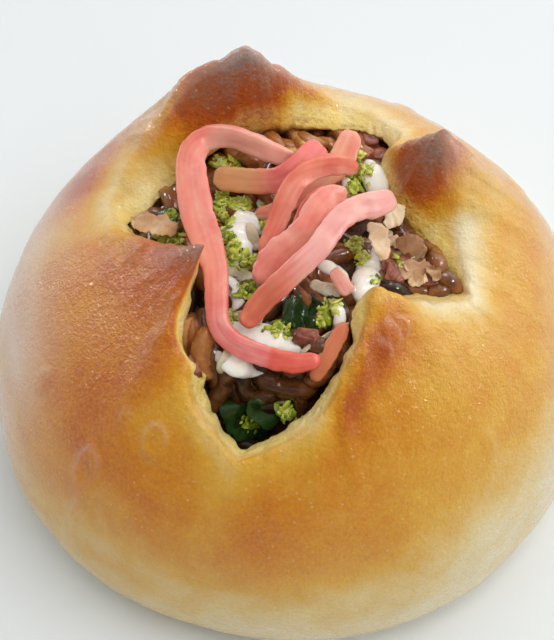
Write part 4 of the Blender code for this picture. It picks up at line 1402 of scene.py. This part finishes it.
# Ginger strips: thickness, then stations of x, y, height, width and turn about the strip's run.
STRIPS = {
    "ginger_long_loop": (
        1.7,
        [
            (1.3, 11.1, 55.6, 2.4, 20), (-2.8, 11.4, 57.0, 3.4, 30), (-6.3, 12.6, 58.0, 3.8, 40),
            (-10.0, 13.5, 58.6, 3.8, 40), (-13.5, 12.3, 58.9, 4.0, 20), (-15.2, 9.1, 58.6, 4.4, 0),
            (-15.0, 4.6, 57.8, 5.0, 0), (-14.0, -1.0, 56.8, 5.2, 0), (-12.2, -6.4, 55.8, 4.6, 0),
            (-11.1, -10.6, 55.0, 3.8, 0), (-10.8, -15.6, 54.6, 3.5, -10), (-10.4, -19.4, 54.2, 3.3, -20),
            (-8.8, -22.2, 54.0, 3.3, -20), (-6.0, -24.0, 53.8, 3.2, -10), (-2.6, -25.3, 53.6, 3.2, 0),
            (0.9, -26.0, 53.4, 3.0, 10), (4.4, -25.4, 53.4, 2.3, 10),
        ],
    ),
    "ginger_tan_end": (
        1.5,
        [
            (-11.9, 8.8, 54.4, 3.6, 0), (-8.3, 7.8, 54.7, 4.0, 0), (-4.8, 7.0, 55.3, 4.0, 0),
            (-1.6, 6.4, 56.4, 4.0, 0), (0.9, 7.6, 57.6, 3.8, 0), (3.2, 10.1, 57.8, 4.2, 0),
            (5.0, 13.0, 57.0, 3.6, 0),
        ],
    ),
    "ginger_behind": (
        1.4,
        [
            (9.9, 17.4, 55.6, 3.2, 0), (8.9, 14.0, 54.6, 4.2, 0), (7.2, 10.9, 53.9, 4.0, 0),
            (4.4, 8.4, 53.5, 3.4, 0), (0.8, 5.4, 52.9, 3.0, 0), (-2.6, 3.0, 52.8, 2.6, 0),
            (-5.2, 2.6, 52.8, 2.0, 0),
        ],
    ),
    "ginger_arch": (
        1.8,
        [
            (10.4, 6.6, 58.6, 1.8, 0), (8.0, 5.6, 60.6, 3.0, 20), (5.7, 4.6, 61.8, 3.4, 30),
            (3.0, 3.0, 62.2, 3.4, 20), (0.9, 1.0, 61.8, 3.4, 0), (-0.6, -1.2, 60.4, 3.4, 0),
            (-1.7, -3.2, 58.4, 3.2, 0), (-2.9, -5.2, 56.6, 2.8, 0), (-4.2, -7.4, 55.0, 1.8, 0),
        ],
    ),
    "ginger_arch_inner": (
        1.4,
        [
            (8.4, 2.6, 56.4, 2.6, 0), (5.4, 2.2, 57.2, 3.4, 0), (3.2, 0.2, 57.4, 3.0, 0),
            (1.8, -2.4, 56.8, 2.6, 0), (0.4, -4.6, 55.6, 2.0, 0),
        ],
    ),
    "ginger_broad": (
        1.8,
        [
            (8.6, 0.4, 59.0, 2.6, 0), (6.2, -0.7, 60.4, 4.0, 0), (4.2, -3.2, 60.6, 4.4, 0),
            (2.7, -5.8, 59.8, 4.2, 0), (0.9, -7.6, 58.6, 4.6, 0), (-1.5, -9.2, 57.2, 5.2, 0),
            (-3.1, -11.0, 55.8, 5.0, 0), (-4.2, -12.8, 54.6, 3.4, 0),
        ],
    ),
    "ginger_front_run": (
        1.7,
        [
            (15.8, -0.3, 59.8, 2.8, 0), (13.0, -2.8, 61.4, 4.0, 0), (10.1, -4.4, 62.4, 3.8, 0),
            (7.7, -6.5, 62.8, 3.6, 0), (5.8, -9.1, 62.6, 3.6, 0), (4.1, -11.9, 62.2, 3.6, 0),
            (1.4, -14.4, 61.2, 3.6, 0), (-1.5, -16.4, 59.4, 3.6, 0), (-3.9, -17.6, 57.2, 3.5, 0),
            (-5.6, -19.0, 55.4, 3.2, 0), (-6.6, -20.4, 54.6, 2.2, 0),
        ],
    ),
    "ginger_small_pale": (
        1.2,
        [
            (6.4, -10.6, 55.6, 1.8, 0), (7.8, -12.6, 54.8, 2.4, 0), (8.8, -14.2, 54.2, 2.2, 0),
        ],
    ),
    "ginger_lip_strip": (
        1.2,
        [
            (8.1, -18.9, 53.4, 1.6, 0), (7.2, -20.7, 52.8, 2.4, 0), (5.8, -22.9, 51.7, 2.6, 0),
            (4.4, -24.9, 50.2, 2.4, 0), (3.4, -26.1, 49.0, 1.6, 0),
        ],
    ),
}

FLAKES = {
    "fish_flake_curled": [
        (12.6, -2.4, 56.6, 2.4, 30), (13.4, -4.4, 56.2, 3.2, 20), (13.9, -6.6, 55.6, 2.6, 10),
        (14.0, -8.4, 55.0, 1.2, 0),
    ],
    "fish_flake_pale": [
        (16.4, 2.6, 54.8, 2.0, 0), (16.2, 0.8, 55.0, 3.0, 10), (15.4, -1.2, 55.4, 2.6, 20),
        (14.8, -2.4, 55.6, 1.4, 20),
    ],
    "fish_flake_brown": [
        (16.2, -3.8, 53.4, 1.8, -20), (18.2, -4.2, 53.6, 3.0, -10), (20.2, -4.6, 53.0, 2.4, 0),
    ],
    "fish_flake_notch": [
        (16.6, -8.6, 52.6, 2.0, 10), (18.8, -8.0, 52.2, 3.2, 0), (20.8, -7.4, 51.4, 2.4, -10),
    ],
    "fish_flake_left": [
        (-24.0, 0.8, 52.6, 2.0, 0), (-21.6, 0.2, 53.4, 3.2, 10), (-19.2, -0.6, 53.6, 3.0, 0),
        (-17.4, -1.2, 53.2, 1.6, 0),
    ],
}
FLAKE_TONES = {
    "fish_flake_curled": 0.80,
    "fish_flake_pale": 0.90,
    "fish_flake_brown": 0.25,
    "fish_flake_notch": 0.40,
    "fish_flake_left": 0.55,
}

# Shards of fish flake: pixels with width and turn, then how pale.
SHARDS = [
    ([(388, 244, 1.2, 0), (396, 247, 2.4, 30), (406, 251, 2.0, 10)], 0.75),
    ([(404, 246, 1.4, 0), (413, 252, 3.0, -20), (423, 258, 1.8, -30)], 0.55),
    ([(404, 268, 1.2, 20), (412, 270, 2.8, 40), (422, 276, 1.6, 20)], 0.50),
    ([(406, 284, 1.4, 0), (416, 281, 2.6, 20), (427, 283, 1.4, 40)], 0.62),
    ([(424, 268, 1.0, 50), (431, 275, 2.4, 30), (438, 283, 1.2, 20)], 0.35),
    ([(430, 264, 1.0, 0), (434, 270, 1.8, 10), (441, 275, 1.0, 0)], 0.20),
    ([(146, 214, 1.0, 0), (156, 220, 2.4, 20), (166, 226, 1.4, 10)], 0.45),
    ([(136, 222, 1.2, 0), (146, 228, 2.8, 0), (158, 234, 1.6, -10)], 0.70),
    ([(372, 238, 1.0, 0), (380, 242, 2.2, 20), (388, 238, 1.0, 0)], 0.85),
]

# How each strip is coloured: lighter by, and more across it; how pink, and more across it; how tan. The
# lightness is partly the ginger's own and partly painted light and shade copied from how each strip is lit.
GINGER_TONES = {
    "ginger_long_loop": (0.0, 0.0, 0.45, 0.0, 0.0),
    "ginger_tan_end": (-0.05, 0.0, 0.75, 0.0, 0.0),
    "ginger_behind": (0.12, 0.0, 0.25, 0.0, 0.0),
    "ginger_arch": (0.02, -0.16, 0.30, -0.2, 0.0),
    "ginger_arch_inner": (-0.12, 0.0, 0.30, 0.0, 0.0),
    "ginger_broad": (0.10, 0.08, 0.40, 0.2, 0.0),
    "ginger_front_run": (0.0, 0.05, 0.85, 0.0, 0.0),
    "ginger_small_pale": (0.30, 0.0, 0.60, 0.0, 0.0),
    "ginger_lip_strip": (-0.26, 0.0, 0.40, 0.0, 0.55),
}


def ginger_tones(name, run, u, v):
    """How light, pink and tan a strip is at one point: share of its length, then place in its section. The
    lightness carries painted light and shade: the face turned up is lighter, and lit and shaded stretches are
    painted along the loop and the front run.
    """
    lighter, light_across, pink, pink_across, tan = GINGER_TONES[name]
    # Painted light: the face turned up towards the camera is made lighter.
    light = 0.52 + 0.10 * v + lighter + light_across * u
    pink += pink_across * u
    if name == "ginger_long_loop":
        upright = smooth_step((run - 0.24) / 0.08) * smooth_step((0.66 - run) / 0.08)
        top = 1 - smooth_step((run - 0.20) / 0.08)
        low = smooth_step((run - 0.60) / 0.10)
        cut = smooth_step((run - 0.86) / 0.02)
        # Painted light: the loop's top run, which faces away from the lamps, is made much lighter, and its
        # upright part a little lighter.
        light += (0.08 - 0.06 * u) * upright + (0.46 - 0.14 * u) * top + (0.08 - 0.10 * u) * low - 0.34 * cut
        pink += 0.05 * top + 0.40 * low - 0.45 * cut - 0.15 * upright * u
    elif name == "ginger_tan_end":
        tan = 1 - smooth_step((run - 0.22) / 0.3)
    elif name == "ginger_behind":
        tan = 0.5 * smooth_step((run - 0.1) / 0.2) * smooth_step((0.6 - run) / 0.2)
    elif name == "ginger_front_run":
        low = smooth_step((run - 0.52) / 0.25)
        # Painted light and shade: the front run's high part is made lighter and its low part darker.
        light += 0.38 * (1 - low) - 0.24 * low
        pink -= 0.45 * low
        tan = 0.30 * low
    return light, pink, tan


def make_ginger():
    look = ginger_look()
    for n, (name, (thickness, stations)) in enumerate(STRIPS.items()):
        rings, facing = ribbon(
            stations, thickness * 0.94, 18, 12, n * 3.0, 0.10, sharp=4.2, groove=0.06, taper=(6, 0.22)
        )
        shape = Builder()
        shape.loft(rings)
        tones = []
        for run, u, v in facing:
            streak = drift(run * len(stations) * 0.5, u * 4.0, n * 2.0)
            light, pink, tan = ginger_tones(name, run, u, v)
            tones.append((light + 0.16 * streak, pink - 0.12 * streak, tan))
        tones = np.array(tones + [tones[0], tones[-1]])
        attributes = {"mark": tones[:, 0], "hue": tones[:, 1], "tan": tones[:, 2]}
        strip = make_mesh(name + "_look", shape.points, shape.faces, look, attributes)
        place(strip, "ginger", name)


def make_flakes(tree):
    look = look_of("fish_flake_look")
    for n, (name, stations) in enumerate(FLAKES.items()):
        rings, facing = ribbon(stations, 0.42, 12, 9, n * 1.7, 0.45, waves=0.25)
        shape = Builder()
        shape.loft(rings, [FLAKE_TONES[name] + 0.12 * u for _, u, _ in facing])
        place(shape.mesh(name + "_look", look), "fish_flake", name)
    shape = Builder()
    for n, (stations, pale) in enumerate(SHARDS):
        rings, facing = laid_strip(tree, stations, 1.0, 0.28, 10, n * 2.3, 0.6, 0.30, per_span=6)
        shape.loft(rings, [pale + 0.2 * u for _, u, _ in facing])
    place(shape.mesh("fish_shards", look), "fish_flake")


# Surroundings.


def make_floor():
    data = bpy.data.meshes.new("table_top")
    body = bmesh.new()
    bmesh.ops.create_grid(body, x_segments=2, y_segments=2, size=2.0)
    body.to_mesh(data)
    body.free()
    data.materials.append(look_of("pale_table_look"))
    floor = add_object("table_top", data)
    floor.location = (0, 0, -0.0002)


def make_panel(name, place_at, aim, size, power, colour):
    """A flat rectangular lamp that faces its aim."""
    data = bpy.data.lights.new(name, "AREA")
    data.shape = "RECTANGLE"
    data.size = size[0]
    data.size_y = size[1]
    data.energy = power
    data.color = colour
    lamp = add_object(name, data)
    lamp.location = place_at
    lamp.rotation_euler = (Vector(aim) - Vector(place_at)).to_track_quat("-Z", "Y").to_euler()
    return lamp


def make_lights():
    """A pale room, darkest on the camera's side, with a wide window behind and a soft panel overhead."""
    world = bpy.data.worlds.new("pale_room")
    world.use_nodes = True
    tree = world.node_tree
    back = tree.nodes["Background"]
    back.inputs["Color"].default_value = (0.94, 0.97, 1.0, 1.0)
    split = tree.nodes.new("ShaderNodeSeparateXYZ")
    depth = tree.nodes.new("ShaderNodeMapRange")
    for name, value in (("From Min", -0.8), ("From Max", 0.3), ("To Min", 0.16), ("To Max", 0.68)):
        depth.inputs[name].default_value = value
    tree.links.new(tree.nodes.new("ShaderNodeTexCoord").outputs["Generated"], split.inputs[0])
    tree.links.new(split.outputs["Y"], depth.inputs["Value"])
    tree.links.new(depth.outputs["Result"], back.inputs["Strength"])
    bpy.context.scene.world = world
    make_panel("window", (0.55, 0.82, 0.50), (0, 0, 0.03), (1.2, 0.7), 4.4, (1.0, 0.995, 0.98))
    make_panel("left_window", (-1.0, 0.55, 0.35), (0, 0, 0.03), (0.7, 0.4), 1.2, (0.98, 0.99, 1.0))
    glints = [
        ("back_glint", (0.06, 0.55, 0.80), (0.30, 0.05), 1.8),
        ("left_glint", (-0.72, 0.52, 0.45), (0.16, 0.10), 3.2),
        ("right_glint", (0.80, 0.10, 0.62), (0.14, 0.08), 4.2),
    ]
    for name, place_at, size, power in glints:
        glint = make_panel(name, place_at, (0, 0, 0.05), size, power, (1.0, 1.0, 1.0))
        glint.visible_diffuse = False
    ceiling = make_panel("ceiling", (0.30, -0.28, 0.88), (0, 0, 0.03), (0.8, 0.8), 5.5, (1.0, 0.99, 0.97))
    ceiling.visible_glossy = False


def make_camera():
    data = bpy.data.cameras.new("camera")
    data.sensor_width = SENSOR
    data.lens = CAMERA_LENS
    data.clip_start = 0.01
    data.shift_x = -PICTURE_SHIFT[0] / PICTURE_SIZE[1]
    data.shift_y = PICTURE_SHIFT[1] / PICTURE_SIZE[1]
    camera = add_object("camera", data)
    tilt = math.radians(CAMERA_TILT)
    away = CAMERA_DISTANCE * MM
    camera.location = (0, -away * math.cos(tilt), CAMERA_AIM * MM + away * math.sin(tilt))
    camera.rotation_euler = (math.radians(90) - tilt, 0, 0)
    bpy.context.scene.camera = camera


brink = make_bread()
opening = Opening(brink)
bed = [make_heap(opening), make_noodles(opening)]
bed.append(make_short_noodles(surface_of(bed)))
bed.append(make_meat(surface_of(bed)))
bed.append(make_dressing(surface_of(bed)))
bed.append(make_leaves(surface_of(bed)))
bed.append(make_onions(surface_of(bed)))
covered = surface_of(bed)
make_seaweed(covered)
make_ginger()
make_flakes(covered)
make_floor()
make_lights()
make_camera()
bpy.context.scene.view_settings.view_transform = "Standard"
